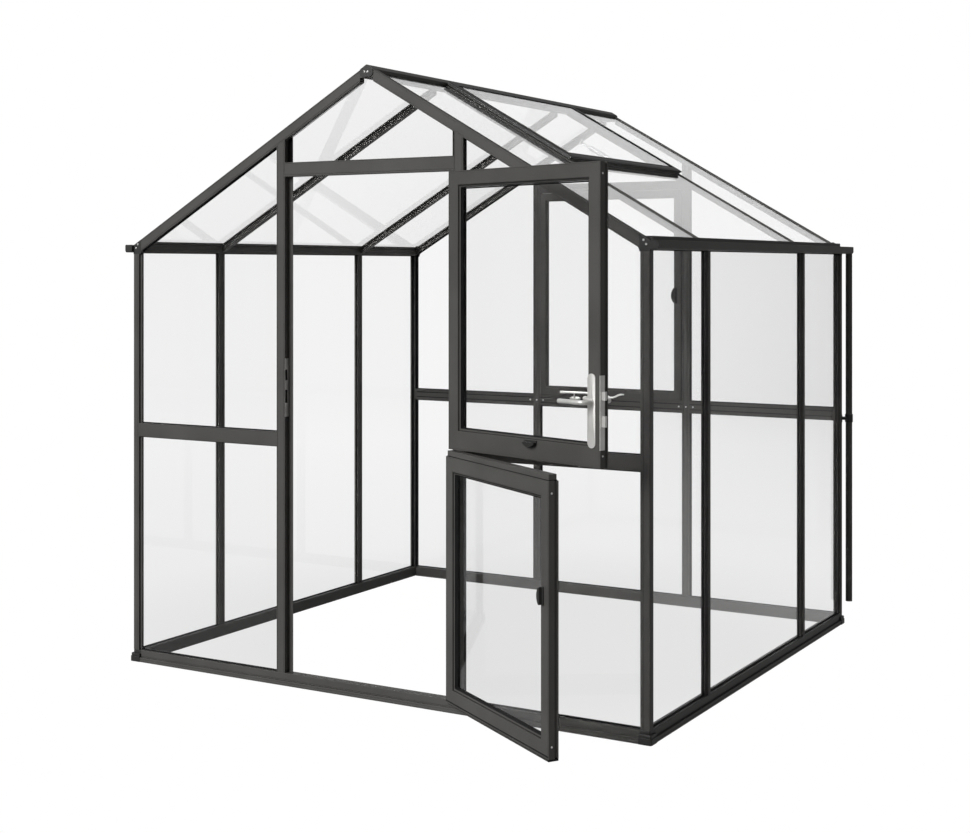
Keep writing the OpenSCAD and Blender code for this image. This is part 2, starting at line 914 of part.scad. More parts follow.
module door_levers() {
    color(lever_silver) swing(upper_open) translate([spindle_x, 0, spindle_z]) {
        translate([0, leaf_in + plate_t + seat_gap, 0]) lever(inner_lever, inner_neck);
        translate([0, leaf_y - plate_t - seat_gap, 0]) mirror([0, 1, 0])
            lever(outer_lever, outer_neck);
        translate([0, leaf_y - plate_t - 4, 0]) rotate([-90, 0, 0])
            cylinder(r = spindle_r, h = leaf_t + 2 * plate_t + 8);
    }
}

module lower_door_stiles() {
    color(anthracite) swing(lower_open) in_lower()
        stiles(leaf_w, lower_h, leaf_stile, leaf_t, leaf_rail, leaf_rail);
}

module lower_door_rails() {
    color(anthracite) swing(lower_open) in_lower()
        rails(leaf_w, lower_h, leaf_stile, leaf_t, leaf_rail, leaf_rail);
}

module lower_door_glass() {
    color(clear_glass) swing(lower_open) in_lower()
        panel_glass(leaf_w, lower_h, leaf_stile, leaf_t, leaf_rail, leaf_rail);
}

module lower_door_catch() {
    color(casting_black) swing(lower_open)
        translate([leaf_stile - bead_w - catch_set - leaf_edge, leaf_in, lower_z + lower_catch_up])
            mirror([1, 0, 0]) turn_catch(small_catch);
}

module weather_bar() {
    color(casting_black) swing(lower_open)
        block([weather_set[0] - leaf_edge, leaf_y + weather_set[1], lower_top],
            [leaf_edge - weather_set[0], leaf_in - weather_set[1], lower_top + weather_h]);
}

front_sill();
rear_sill();
side_sills();
base_corners();
corner_posts();
side_wall_posts();
door_posts();
rear_posts();
door_header();
rear_header();
front_mid_rails();
rear_mid_rails();
eave_beams();
eave_brackets();
gable_rafters();
middle_rafters();
ridge_beam();
ridge_plates();
gutters();
gutter_ends();
downpipes();
pipe_clamps();
front_wall_glass();
rear_wall_glass();
side_wall_glass();
gable_glass();
left_roof_glass();
right_roof_glass();
vent_stiles();
vent_rails();
vent_glass();
vent_trimmer();
vent_opener();
window_stiles();
window_rails();
window_glass();
window_catch();
window_stay();
strike_plate();
post_hinges();
upper_door_stiles();
upper_door_rails();
upper_door_glass();
upper_door_hinges();
upper_door_catch();
lock_case();
lever_plates();
latch();
lock_bolt();
door_levers();
lower_door_stiles();
lower_door_rails();
lower_door_glass();
lower_door_hinges();
lower_door_catch();
weather_bar();
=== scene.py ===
import json
import math

import bmesh
import bpy
from mathutils import Matrix, Vector


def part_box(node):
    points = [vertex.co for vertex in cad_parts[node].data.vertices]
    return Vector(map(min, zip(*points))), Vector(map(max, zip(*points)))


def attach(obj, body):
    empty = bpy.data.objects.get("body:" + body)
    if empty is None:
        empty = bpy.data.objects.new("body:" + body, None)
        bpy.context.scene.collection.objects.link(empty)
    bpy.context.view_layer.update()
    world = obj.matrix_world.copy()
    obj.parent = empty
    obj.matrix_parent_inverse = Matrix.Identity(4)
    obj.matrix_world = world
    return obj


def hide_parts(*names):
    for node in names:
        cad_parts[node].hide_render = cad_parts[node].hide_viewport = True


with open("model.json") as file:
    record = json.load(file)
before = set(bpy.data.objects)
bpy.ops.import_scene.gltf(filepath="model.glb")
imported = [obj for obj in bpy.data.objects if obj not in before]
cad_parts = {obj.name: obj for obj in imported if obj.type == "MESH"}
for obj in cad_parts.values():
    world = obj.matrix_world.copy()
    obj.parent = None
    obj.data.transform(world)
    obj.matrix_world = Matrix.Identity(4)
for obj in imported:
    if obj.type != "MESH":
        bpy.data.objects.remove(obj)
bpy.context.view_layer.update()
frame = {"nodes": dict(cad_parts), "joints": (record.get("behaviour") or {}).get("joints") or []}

scene = bpy.context.scene
scene.view_settings.view_transform = "Standard"  # a white backdrop stays white
mm = 0.001


def hexColour(text):
    parts = [int(text[i:i + 2], 16) / 255 for i in (1, 3, 5)]
    linear = [p / 12.92 if p <= 0.04045 else ((p + 0.055) / 1.055) ** 2.4 for p in parts]
    return (*linear, 1.0)


def addNode(tree, kind, settings=None, links=None):
    node = tree.nodes.new(kind)
    for name, value in (settings or {}).items():
        if isinstance(name, int) or name in node.inputs:
            node.inputs[name].default_value = value
        else:
            setattr(node, name, value)
    for name, source in (links or {}).items():
        tree.links.new(source, node.inputs[name])
    return node


def grains(size):
    return 1000 / size  # noise scale that gives grains of this many millimetres


def emptyTree(owner):
    owner.use_nodes = True
    owner.node_tree.nodes.clear()
    return owner.node_tree


# A colour ramp on a value; stops are pairs of a position and a colour
def makeRamp(tree, source, stops):
    ramp = addNode(tree, "ShaderNodeValToRGB", links={"Fac": source})
    while len(ramp.color_ramp.elements) < len(stops):
        ramp.color_ramp.elements.new(0.5)
    for element, (position, colour) in zip(ramp.color_ramp.elements, stops):
        element.position = position
        element.color = colour
    return ramp.outputs["Color"]


# One surface: a colour that drifts between two tones, and a fine relief
def makeCoating(name, look):
    material = bpy.data.materials.new(name)
    tree = emptyTree(material)
    place = addNode(tree, "ShaderNodeTexCoord").outputs["Object"]
    stretch = addNode(tree, "ShaderNodeMapping", {"Scale": look.get("stretch", (1, 1, 1))},
                      {"Vector": place}).outputs["Vector"]
    drift = addNode(tree, "ShaderNodeTexNoise", {"Scale": grains(look["driftSize"]), "Detail": 3.0},
                    {"Vector": place}).outputs["Fac"]
    relief = addNode(tree, "ShaderNodeTexNoise", {"Scale": grains(look["grainSize"]), "Detail": 2.0},
                     {"Vector": stretch}).outputs["Fac"]
    tone = makeRamp(tree, drift, ((0.35, hexColour(look["dark"])), (0.65, hexColour(look["light"]))))
    sheen = addNode(tree, "ShaderNodeMapRange", {"To Min": look["roughness"] - 0.05,
                                                 "To Max": look["roughness"] + 0.05}, {"Value": relief})
    bump = addNode(tree, "ShaderNodeBump", {"Strength": look["relief"], "Distance": 0.2 * mm},
                   {"Height": relief})
    shader = addNode(tree, "ShaderNodeBsdfPrincipled",
                     {"Metallic": look.get("metallic", 0.0),
                      "Specular IOR Level": look.get("specular", 0.5)},
                     {"Base Color": tone, "Roughness": sheen.outputs["Result"],
                      "Normal": bump.outputs["Normal"]})
    addNode(tree, "ShaderNodeOutputMaterial", links={"Surface": shader.outputs["BSDF"]})
    return material


# A pane: sharp reflections that grow at a low angle, while lamps shine straight through its shade
def makeGlass(name, look):
    material = bpy.data.materials.new(name)
    tree = emptyTree(material)
    rays = addNode(tree, "ShaderNodeLightPath").outputs["Is Shadow Ray"]
    glass = addNode(tree, "ShaderNodeBsdfGlass", {"Color": hexColour(look["tint"]), "Roughness": 0.0,
                                                  "IOR": look["ior"]})
    clear = addNode(tree, "ShaderNodeBsdfTransparent", {"Color": hexColour(look["shade"])})
    mixed = addNode(tree, "ShaderNodeMixShader", links={0: rays, 1: glass.outputs["BSDF"],
                                                        2: clear.outputs["BSDF"]})
    addNode(tree, "ShaderNodeOutputMaterial", links={"Surface": mixed.outputs["Shader"]})
    return material


finishes = {
    # polyester powder coat on aluminium: matt charcoal with an orange peel that softens highlights
    "powderCoat": makeCoating("anthracite powder coat", {
        "dark": "#42413f", "light": "#4a4947", "driftSize": 220, "grainSize": 1.6,
        "roughness": 0.5, "relief": 0.25, "specular": 0.22}),
    # glass-filled nylon castings: black with a faint moulded grain
    "nylon": makeCoating("black moulded nylon", {
        "dark": "#222221", "light": "#2a2a29", "driftSize": 90, "grainSize": 1.0,
        "roughness": 0.45, "relief": 0.3, "specular": 0.3}),
    # EPDM glazing seals: dull black lines that frame every pane; the same black is also laid on as painted
    # shade in grooves, creases and along the eaves
    "rubber": makeCoating("black rubber and painted shade", {
        "dark": "#111111", "light": "#181818", "driftSize": 60, "grainSize": 1.2,
        "roughness": 0.75, "relief": 0.2, "specular": 0.2}),
    # stainless steel ground along its length: a soft satin streak, kept pale by being part metallic
    "satinSteel": makeCoating("satin stainless steel", {
        "dark": "#cac9c6", "light": "#d6d5d2", "driftSize": 40, "grainSize": 1.0,
        "roughness": 0.36, "relief": 0.25, "metallic": 0.6, "stretch": (1, 1, 0.04)}),
    # zinc-plated screws: small bright dots
    "zinc": makeCoating("bright zinc plating", {
        "dark": "#d4d4d2", "light": "#e6e6e4", "driftSize": 12, "grainSize": 0.8,
        "roughness": 0.3, "relief": 0.15, "metallic": 0.6}),
    # mill-finish aluminium of the vent opener: pale grey with drawn lines
    "millAluminium": makeCoating("mill finish aluminium", {
        "dark": "#c4c5c6", "light": "#d8d9da", "driftSize": 30, "grainSize": 1.2,
        "roughness": 0.42, "relief": 0.2, "metallic": 0.6, "stretch": (0.05, 1, 1)}),
    # float glass: clear, hardly mirroring from the front, and it lets less lamp light into the house
    "glass": makeGlass("clear float glass", {"tint": "#fefefe", "shade": "#949494", "ior": 1.22}),
}
print("materials made")


def low(node):
    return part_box(node)[0]


def high(node):
    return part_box(node)[1]


def vertsOf(result, key="geom"):
    return [part for part in result[key] if isinstance(part, bmesh.types.BMVert)]


# A closed bar: a flat outline pushed along a vector; returns the vertices of its far end
def pushOutline(bm, corners, reach):
    face = bm.faces.new([bm.verts.new(corner) for corner in corners])
    ends = vertsOf(bmesh.ops.extrude_face_region(bm, geom=[face]))
    bmesh.ops.translate(bm, verts=ends, vec=reach)
    return ends


def barAlongX(bm, outline, x0, x1):  # outline in Y and Z
    return pushOutline(bm, [(x0, y, z) for y, z in outline], (x1 - x0, 0, 0))


def barAlongY(bm, outline, y0, y1):  # outline in X and Z
    return pushOutline(bm, [(x, y0, z) for x, z in outline], (0, y1 - y0, 0))


def barAlongZ(bm, outline, z0, z1):  # outline in X and Y
    return pushOutline(bm, [(x, y, z0) for x, y in outline], (0, 0, z1 - z0))


def boxBetween(bm, corner, opposite):
    a, b = Vector(corner), Vector(opposite)
    made = bmesh.ops.create_cube(bm, size=1)["verts"]
    bmesh.ops.scale(bm, vec=b - a, verts=made)
    bmesh.ops.translate(bm, vec=(a + b) / 2, verts=made)
    return made


def scaled(outline, factor=mm, shift=(0, 0)):
    return [(a * factor + shift[0], b * factor + shift[1]) for a, b in outline]


# The whole of an outline that is alike on both sides of its upright middle line
def bothSides(rightHalf, apex=()):
    return rightHalf + list(apex) + [(-a, b) for a, b in rightHalf[::-1]]


# A second copy on the other side of a plane, so a right-hand piece also gets its left-hand twin
def mirrorAcross(bm, axis, plane):
    twin = bmesh.ops.duplicate(bm, geom=bm.verts[:] + bm.edges[:] + bm.faces[:])
    for v in vertsOf(twin):
        v.co[axis] = 2 * plane - v.co[axis]


def mirrorX(bm):
    mirrorAcross(bm, 0, 0)


def mirrorY(bm, middle):
    mirrorAcross(bm, 1, middle)


# A frame with mitred corners, lying in X and Y: the outline holds (inwards, up) points,
# the ring is made square by a spin of four steps and then drawn out to its size
def mitredFrame(bm, outline, width, length):
    core = 1.0
    start = [bm.verts.new((-core + inwards, -core + inwards, up)) for inwards, up in outline]
    edges = [bm.edges.new((a, b)) for a, b in zip(start, start[1:] + start[:1])]
    bmesh.ops.spin(bm, geom=start + edges, axis=(0, 0, 1), cent=(0, 0, 0), angle=math.tau,
                   steps=4, use_merge=True)
    for axis, size in ((0, width), (1, length)):
        far = [v for v in bm.verts if v.co[axis] > 0]
        near = [v for v in bm.verts if v.co[axis] < 0]
        push = Vector((0, 0, 0))
        push[axis] = size - core
        bmesh.ops.translate(bm, verts=far, vec=push)
        push[axis] = core
        bmesh.ops.translate(bm, verts=near, vec=push)


# Turns that stand a lying frame up, to face along Y or along X
faceY = Matrix(((1, 0, 0, 0), (0, 0, 1, 0), (0, 1, 0, 0), (0, 0, 0, 1)))
faceX = Matrix(((0, 0, 1, 0), (1, 0, 0, 0), (0, 1, 0, 0), (0, 0, 0, 1)))


# An upright mitred frame from its lower corner; the bottom rail may be broader than the others,
# and then what lies further in than the given line moves up
def standingFrame(bm, outline, corner, width, height, turn=faceY, broader=0, line=0):
    part = bmesh.new()
    mitredFrame(part, scaled(outline), width, height)
    if broader:
        railInside = [v for v in part.verts if line < v.co.y < 100 * mm]
        bmesh.ops.translate(part, verts=railInside, vec=(0, broader, 0))
    bmesh.ops.transform(part, verts=part.verts[:], matrix=Matrix.Translation(corner) @ turn)
    mesh = bpy.data.meshes.new("part")
    part.to_mesh(mesh)
    part.free()
    bm.from_mesh(mesh)
    bpy.data.meshes.remove(mesh)


# A round bar that follows a path, ring by ring, each ring with its own radius
def roundSweep(bm, path, radii, sides=24, flat=(1, 1)):
    points = [Vector(p) for p in path]
    frames = []
    for i, point in enumerate(points):
        along = (points[min(i + 1, len(points) - 1)] - points[max(i - 1, 0)]).normalized()
        turn = along.to_track_quat("Z", "Y").to_matrix().to_4x4()
        size = Matrix.Diagonal((radii[i] * flat[0], radii[i] * flat[1], 1, 1))
        frames.append(Matrix.Translation(point) @ turn @ size)
    ring = bmesh.ops.create_circle(bm, segments=sides, radius=1, cap_ends=True)["verts"]
    bmesh.ops.transform(bm, matrix=frames[0], verts=ring)
    edges = [e for e in bm.edges if e.verts[0] in ring and e.verts[1] in ring]
    for before, after in zip(frames, frames[1:]):
        grown = bmesh.ops.extrude_edge_only(bm, edges=edges)["geom"]
        ring = [part for part in grown if isinstance(part, bmesh.types.BMVert)]
        edges = [part for part in grown if isinstance(part, bmesh.types.BMEdge)
                 and part.verts[0] in ring and part.verts[1] in ring]
        bmesh.ops.transform(bm, matrix=after @ before.inverted(), verts=ring)
    bmesh.ops.contextual_create(bm, geom=edges)


def disc(bm, centre, facing, radius, depth, sides=24, top=1.0):
    turn = Vector(facing).to_track_quat("Z", "Y").to_matrix().to_4x4()
    spot = Matrix.Translation(Vector(centre) + Vector(facing).normalized() * depth / 2) @ turn
    return bmesh.ops.create_cone(bm, cap_ends=True, segments=sides, radius1=radius,
                                 radius2=radius * top, depth=depth, matrix=spot)["verts"]


# Pan-head screw: a domed head with a sunk six-sided drive
def screw(bm, centre, facing, radius=4.2 * mm):
    way = Vector(facing).normalized()
    disc(bm, centre, way, radius, radius * 0.28, 16)
    made = disc(bm, Vector(centre) + way * radius * 0.28, way, radius, radius * 0.22, 16, 0.62)
    face = max((f for v in made for f in v.link_faces),
               key=lambda f: f.normal.dot(way) * 10 + f.calc_center_median().dot(way))
    bmesh.ops.inset_individual(bm, faces=[face], thickness=radius * 0.22)
    sunk = vertsOf(bmesh.ops.extrude_face_region(bm, geom=[face]))
    bmesh.ops.translate(bm, verts=sunk, vec=-way * radius * 0.3)
    bmesh.ops.delete(bm, geom=[face], context="FACES_ONLY")


def finishPiece(name, bm, finish, body="house", nodes=(), edge=0.7, smooth=False):
    bmesh.ops.recalc_face_normals(bm, faces=bm.faces[:])
    mesh = bpy.data.meshes.new(name)
    bm.to_mesh(mesh)
    bm.free()
    mesh.materials.append(finishes[finish])
    piece = bpy.data.objects.new(name, mesh)
    scene.collection.objects.link(piece)
    if smooth:
        mesh.shade_smooth()
        mesh.set_sharp_from_angle(angle=math.radians(35))
    if edge:
        soft = piece.modifiers.new("softEdges", "BEVEL")
        soft.width = edge * mm
        soft.segments = 2
        soft.limit_method = "ANGLE"
        soft.angle_limit = math.radians(40)
        soft.use_clamp_overlap = True
    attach(piece, body)
    if nodes:
        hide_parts(*nodes)
    return piece


# A cut taken out of a mesh by a second one
def cutAway(bm, cutter):
    meshes = [bpy.data.meshes.new(n) for n in ("blank", "cutter")]
    for source, mesh in zip((bm, cutter), meshes):
        bmesh.ops.recalc_face_normals(source, faces=source.faces[:])
        source.to_mesh(mesh)
        source.free()
    blank, tool = (bpy.data.objects.new(m.name, m) for m in meshes)
    for item in (blank, tool):
        scene.collection.objects.link(item)
    cut = blank.modifiers.new("cut", "BOOLEAN")
    cut.object = tool
    cut.solver = "EXACT"
    result = bmesh.new()
    result.from_object(blank, bpy.context.evaluated_depsgraph_get())
    for item, mesh in zip((blank, tool), meshes):
        bpy.data.objects.remove(item)
        bpy.data.meshes.remove(mesh)
    bmesh.ops.triangulate(result, faces=result.faces[:])  # so that faces with a hole can be softened
    return result


# A CAD node's shape with its triangles joined into faces, ready for soft edges
def joinedCopy(node):
    bm = bmesh.new()
    bm.from_mesh(frame["nodes"][node].data)
    bmesh.ops.remove_doubles(bm, verts=bm.verts[:], dist=0.01 * mm)
    bmesh.ops.dissolve_limit(bm, angle_limit=math.radians(1), verts=bm.verts[:], edges=bm.edges[:])
    return bm


# Measures of the house, from its nodes where they have them
house = {
    "halfWidth": high("corner_posts").x,
    "depth": high("corner_posts").y,
    "sillTop": low("corner_posts").z,
    "postTop": high("corner_posts").z,
    "pitch": math.radians(30),
    "ridgeZ": high("ridge_beam").z - 2 * mm,
    "railZ": low("front_mid_rails").z,
    "railTall": 56 * mm,
    "halfDoor": high("door_header").x,
    "postOut": high("door_posts").x,
    "eaveLow": low("eave_beams").z,
    "eaveHigh": high("eave_beams").z,
    "wall": 28 * mm,
    "bar": 40 * mm,  # width of the roof bars and of a corner post with its glazing flange
    "face": 30 * mm,  # width of a corner post without it
    "ledge": 8 * mm,  # how far the ledges under the roof panes stand out
    "bayPost": 20 * mm,  # half a side wall post with its glazing flanges
    "paneOut": 14 * mm,
    "pane": 4 * mm,
}
half, depth = house["halfWidth"], house["depth"]
slope = math.tan(house["pitch"])
drop = 1 / math.cos(house["pitch"])  # plumb height of a measure taken square to the roof
eaveX = half - house["bar"]
bayYs = [low("side_wall_posts").y + house["bayPost"], high("side_wall_posts").y - house["bayPost"]]
slopePlace = Matrix.Translation((0, 0, house["ridgeZ"])) @ Matrix.Rotation(house["pitch"], 4, "Y")


# Clear stretches of a side wall, held off its ends and off the middle of its posts
def bays(end, gap):
    stops = [end] + [y + way * gap for y in bayYs for way in (-1, 1)] + [depth - end]
    return list(zip(stops[::2], stops[1::2]))


# A piece of the front wall becomes one of the rear wall
def toRear(bm):
    bmesh.ops.scale(bm, vec=(1, -1, 1), verts=bm.verts[:])
    bmesh.ops.translate(bm, vec=(0, depth, 0), verts=bm.verts[:])


def underRafter(x):
    return house["ridgeZ"] - house["bar"] * drop - abs(x) * slope


# Sill outline inwards and up: foot with a drip groove, shadow gap, upper band
sillOutline = [(-7, 0), (40, 0), (40, 45), (37, 48), (1, 48), (0, 47), (0, 23), (3, 23), (3, 19),
               (-7, 19), (-8, 18), (-8, 11.5), (-6.6, 11.5), (-6.6, 9), (-8, 9), (-8, 1)]
# Rail outline inwards and up: two broad grooves inside, a fine one along each outer edge
railOutline = [(0, 0), (28, 0), (28, 13), (25.4, 13), (25.4, 18), (28, 18), (28, 38), (25.4, 38),
               (25.4, 43), (28, 43), (28, 56), (0, 56), (0, 52.4), (1.1, 52.4), (1.1, 50.9), (0, 50.9),
               (0, 5.1), (1.1, 5.1), (1.1, 3.6), (0, 3.6)]


def makeSills():
    span = half - house["bar"]
    for name, node in (("frontSill", "front_sill"), ("rearSill", "rear_sill")):
        bm = bmesh.new()
        barAlongX(bm, scaled(sillOutline), -span, span)
        if node == "rear_sill":
            toRear(bm)
        finishPiece(name, bm, "powderCoat", nodes=[node])
    bm = bmesh.new()
    barAlongY(bm, [(half - a * mm, b * mm) for a, b in sillOutline], house["bar"], depth - house["bar"])
    mirrorX(bm)
    finishPiece("sideSills", bm, "powderCoat", nodes=["side_sills"])


# Black corner castings: a round foot that stands out past the sill, a chamfered lip, a cup for the post
baseCorner = {"out": 10, "footTop": 22, "lipTop": 34, "reach": 40, "round": 9}


def makeBaseCorners():
    out, reach, bow = baseCorner["out"], baseCorner["reach"], baseCorner["round"]
    foot = [(-reach, -out)]
    for step in range(7):
        a = math.radians(-90 + 15 * step)
        foot.append((out - bow + bow * math.cos(a), -out + bow + bow * math.sin(a)))
    foot += [(out, reach), (-reach, reach)]
    lip = [(-reach, -7.5), (3, -7.5), (7.5, -3), (7.5, reach), (-reach, reach)]
    cup = [(-reach, 0), (-3, 0), (0, 3), (0, reach), (-reach, reach)]
    heights = [0, baseCorner["footTop"] * mm, baseCorner["lipTop"] * mm, house["sillTop"]]
    bm = bmesh.new()
    for outline, z0, z1 in zip((foot, lip, cup), heights, heights[1:]):
        barAlongZ(bm, scaled(outline, shift=(half, 0)), z0, z1)
    mirrorX(bm)
    mirrorY(bm, depth / 2)
    finishPiece("baseCorners", bm, "nylon", nodes=["base_corners"], edge=1.2)


def makeCornerPosts():
    # right front post seen from above, measured from the outer corner
    outline = [(-40, 8), (-30, 8), (-30, 0), (-25, 0), (-25, 1.2), (-23.4, 1.2), (-23.4, 0), (-3.5, 0),
               (-1.4, 0.7), (-0.3, 2.2), (0, 4), (0, 23.4), (-1.2, 23.4), (-1.2, 25), (0, 25), (0, 30),
               (-8, 30), (-8, 40), (-14, 40), (-14, 30), (-19, 30), (-19, 26), (-25, 26), (-25, 30),
               (-30, 30), (-30, 14), (-40, 14)]
    bm = bmesh.new()
    barAlongZ(bm, scaled(outline, shift=(half, 0)), house["sillTop"], house["postTop"])
    mirrorX(bm)
    mirrorY(bm, depth / 2)
    finishPiece("cornerPosts", bm, "powderCoat", nodes=["corner_posts"])


def makeSideWallPosts():
    # half the post along the wall and inwards, with the glazing flange and the broad inner flange
    part = [(5.4, 0), (5.4, -1.2), (7, -1.2), (7, 0), (12, 0), (12, -8), (20, -8), (20, -14), (12, -14),
            (12, -22), (19, -22), (19, -28), (3, -28), (3, -25.5)]
    outline = [(inwards, along) for along, inwards in bothSides(part)]
    bm = bmesh.new()
    for y in bayYs:
        barAlongZ(bm, scaled(outline, shift=(half, y)), house["sillTop"], house["eaveLow"])
    mirrorX(bm)
    finishPiece("sideWallPosts", bm, "powderCoat", nodes=["side_wall_posts"])


# Front of a post beside the door or the rear window, with a fine groove along each edge
postFront = [(0, 0), (3.5, 0), (3.5, 1.2), (5, 1.2), (5, 0), (35, 0), (35, 1.2), (36.5, 1.2), (36.5, 0),
             (40, 0), (40, 28)]


def gablePost(bm, outline):  # its top is cut to the rafter's underside
    for v in barAlongZ(bm, scaled(outline, shift=(house["halfDoor"], 0)), house["sillTop"], house["ridgeZ"]):
        v.co.z = underRafter(v.co.x)


# Pockets behind the strike plate, in millimetres: height for each bolt, depth, and place in the wall
pocket = {"latch": 42, "lock_bolt": 50, "deep": 18, "from": 3, "to": 19}


def makeDoorPosts():
    outline = postFront + [(24, 28), (24, 25.5), (16, 25.5), (16, 28), (-20, 28), (-20, 25), (0, 25),
                           (0, 19), (1.5, 19), (1.5, 16), (0, 16)]
    plain = bmesh.new()
    gablePost(plain, outline)
    bm = bmesh.new()
    gablePost(bm, outline)
    bmesh.ops.scale(bm, vec=(-1, 1, 1), verts=bm.verts[:])
    pockets = [(low("strike_plate"), high("strike_plate") + Vector((1, 0, 0)) * mm)]
    for node in ("latch", "lock_bolt"):
        z, size = (low(node).z + high(node).z) / 2, pocket[node]
        pockets.append(((-house["halfDoor"] - pocket["deep"] * mm, pocket["from"] * mm, z - size / 2 * mm),
                        (-house["halfDoor"] + 1 * mm, pocket["to"] * mm, z + size / 2 * mm)))
    for corner, opposite in pockets:
        cutter = bmesh.new()
        boxBetween(cutter, corner, opposite)
        bm = cutAway(bm, cutter)
    finishPiece("doorPostLeft", bm, "powderCoat", edge=0.5, nodes=["door_posts"])
    finishPiece("doorPostRight", plain, "powderCoat", nodes=["door_posts"])


def makeRearPosts():
    outline = postFront + [(32, 28), (32, 25.4), (26, 25.4), (26, 28), (14, 28), (14, 25.4), (8, 25.4),
                           (8, 28), (0, 28)]
    bm = bmesh.new()
    gablePost(bm, outline)
    toRear(bm)
    mirrorX(bm)
    finishPiece("rearPosts", bm, "powderCoat", nodes=["rear_posts"])


def makeRails():
    outline = scaled(railOutline, shift=(0, house["railZ"]))
    postIn, postFlange = half - house["bar"], half - house["face"]
    z0, z1 = house["railZ"], house["railZ"] + house["railTall"]
    for name, node in (("frontMidRails", "front_mid_rails"), ("rearMidRails", "rear_mid_rails")):
        bm = bmesh.new()
        barAlongX(bm, outline, house["postOut"], postIn)
        for y0, y1 in ((0, 8 * mm), (house["paneOut"], house["wall"])):  # two tongues astride the flange
            boxBetween(bm, (postIn, y0, z0), (postFlange, y1, z1))
        mirrorX(bm)
        if node == "rear_mid_rails":
            barAlongX(bm, outline, -house["halfDoor"], house["halfDoor"])
            toRear(bm)
        finishPiece(name, bm, "powderCoat", nodes=[node])
    # black lines of painted shade in the rails' inner grooves and along their upper and lower edges
    bm = bmesh.new()
    lines = ((25.2, 26.6, 13, 18), (25.2, 26.6, 38, 43), (18.5, 28, 56, 57.6), (18.5, 28, -1.6, 0))
    stretches = ((house["postOut"], postFlange, False), (house["postOut"], postFlange, True),
                 (-house["halfDoor"], 0, True))
    for y0, y1, up0, up1 in lines:
        for x0, x1, rear in stretches:
            ys = (depth - y0 * mm, depth - y1 * mm) if rear else (y0 * mm, y1 * mm)
            boxBetween(bm, (x0, ys[0], z0 + up0 * mm), (x1, ys[1], z0 + up1 * mm))
    mirrorX(bm)
    finishPiece("railShadeLines", bm, "rubber", edge=0)


def makeHeaders():
    tall = (high("door_header").z - low("door_header").z) / mm
    outline = [(0, 1.5), (1.5, 0), (25, 0), (25, 13), (23, 13), (23, 18), (25, 18), (25, tall), (0, tall),
               (0, tall - 4), (1.1, tall - 4), (1.1, tall - 5.5), (0, tall - 5.5), (0, 8), (1.6, 8),
               (1.6, 6), (0, 6)]
    bm = bmesh.new()
    barAlongX(bm, scaled(outline, shift=(0, low("door_header").z)), -house["halfDoor"], house["halfDoor"])
    stopX = house["halfDoor"] - 20 * mm
    boxBetween(bm, (-stopX, 25 * mm, low("door_header").z), (stopX, house["wall"], high("door_header").z))
    finishPiece("doorHeader", bm, "powderCoat", nodes=["door_header"])
    tall = (high("rear_header").z - low("rear_header").z) / mm
    outline = [(0, 0), (28, 0), (28, 12), (25.6, 12), (25.6, 17), (28, 17), (28, tall), (0, tall),
               (0, tall - 4), (1.1, tall - 4), (1.1, tall - 5.5), (0, tall - 5.5), (0, 6), (1.1, 6),
               (1.1, 4.5), (0, 4.5)]
    bm = bmesh.new()
    barAlongX(bm, [(depth - a * mm, b * mm + low("rear_header").z) for a, b in outline],
              -house["halfDoor"], house["halfDoor"])
    finishPiece("rearHeader", bm, "powderCoat", nodes=["rear_header"])


makeSills()
makeBaseCorners()
makeCornerPosts()
makeSideWallPosts()
makeDoorPosts()
makeRearPosts()
makeRails()
makeHeaders()
print("walls made")


# A bar that follows the right slope with plumb ends; outline in Y and depth square to the roof
def slopeBar(bm, outline, x0, x1):
    corners = [(x0, y, house["ridgeZ"] - x0 * slope + w * drop) for y, w in outline]
    return pushOutline(bm, corners, (x1 - x0, 0, -(x1 - x0) * slope))


def makeEaveBeams():
    z0, z1 = house["eaveLow"] / mm, house["eaveHigh"] / mm
    outline = [(0, z0), (0, z1 - 1.5), (-1.5, z1), (-40, z1), (-40, z1 - 12), (-37.6, z1 - 12),
               (-37.6, z1 - 16), (-40, z1 - 16), (-40, z0 + 16), (-37.6, z0 + 16), (-37.6, z0 + 12),
               (-40, z0 + 12), (-40, z0)]
    bm = bmesh.new()
    barAlongY(bm, scaled(outline, shift=(half, 0)), house["face"], depth - house["face"])
    ledgeX = eaveX - house["ledge"]
    ledgeZ = house["ridgeZ"] - ledgeX * slope - house["paneOut"] * drop
    endZ = ledgeZ - house["ledge"] * slope
    ledge = [(ledgeX, ledgeZ), (eaveX, endZ), (eaveX, endZ - 4.6 * mm), (ledgeX, ledgeZ - 4.6 * mm)]
    for y0, y1 in bays(house["face"] + house["ledge"], house["bayPost"]):
        barAlongY(bm, ledge, y0, y1)
    mirrorX(bm)
    finishPiece("eaveBeams", bm, "powderCoat", nodes=["eave_beams"])
    # painted shade: a black strip along the top of the beams' inner faces, below the roof glass
    bm = bmesh.new()
    for y0, y1 in bays(house["face"] + house["ledge"], house["bayPost"]):
        boxBetween(bm, (eaveX - 1.4 * mm, y0, house["eaveHigh"] - 14 * mm),
                   (eaveX + 0.2 * mm, y1, house["eaveHigh"] - 2 * mm))
    mirrorX(bm)
    finishPiece("eaveShadeStrips", bm, "rubber", edge=0)


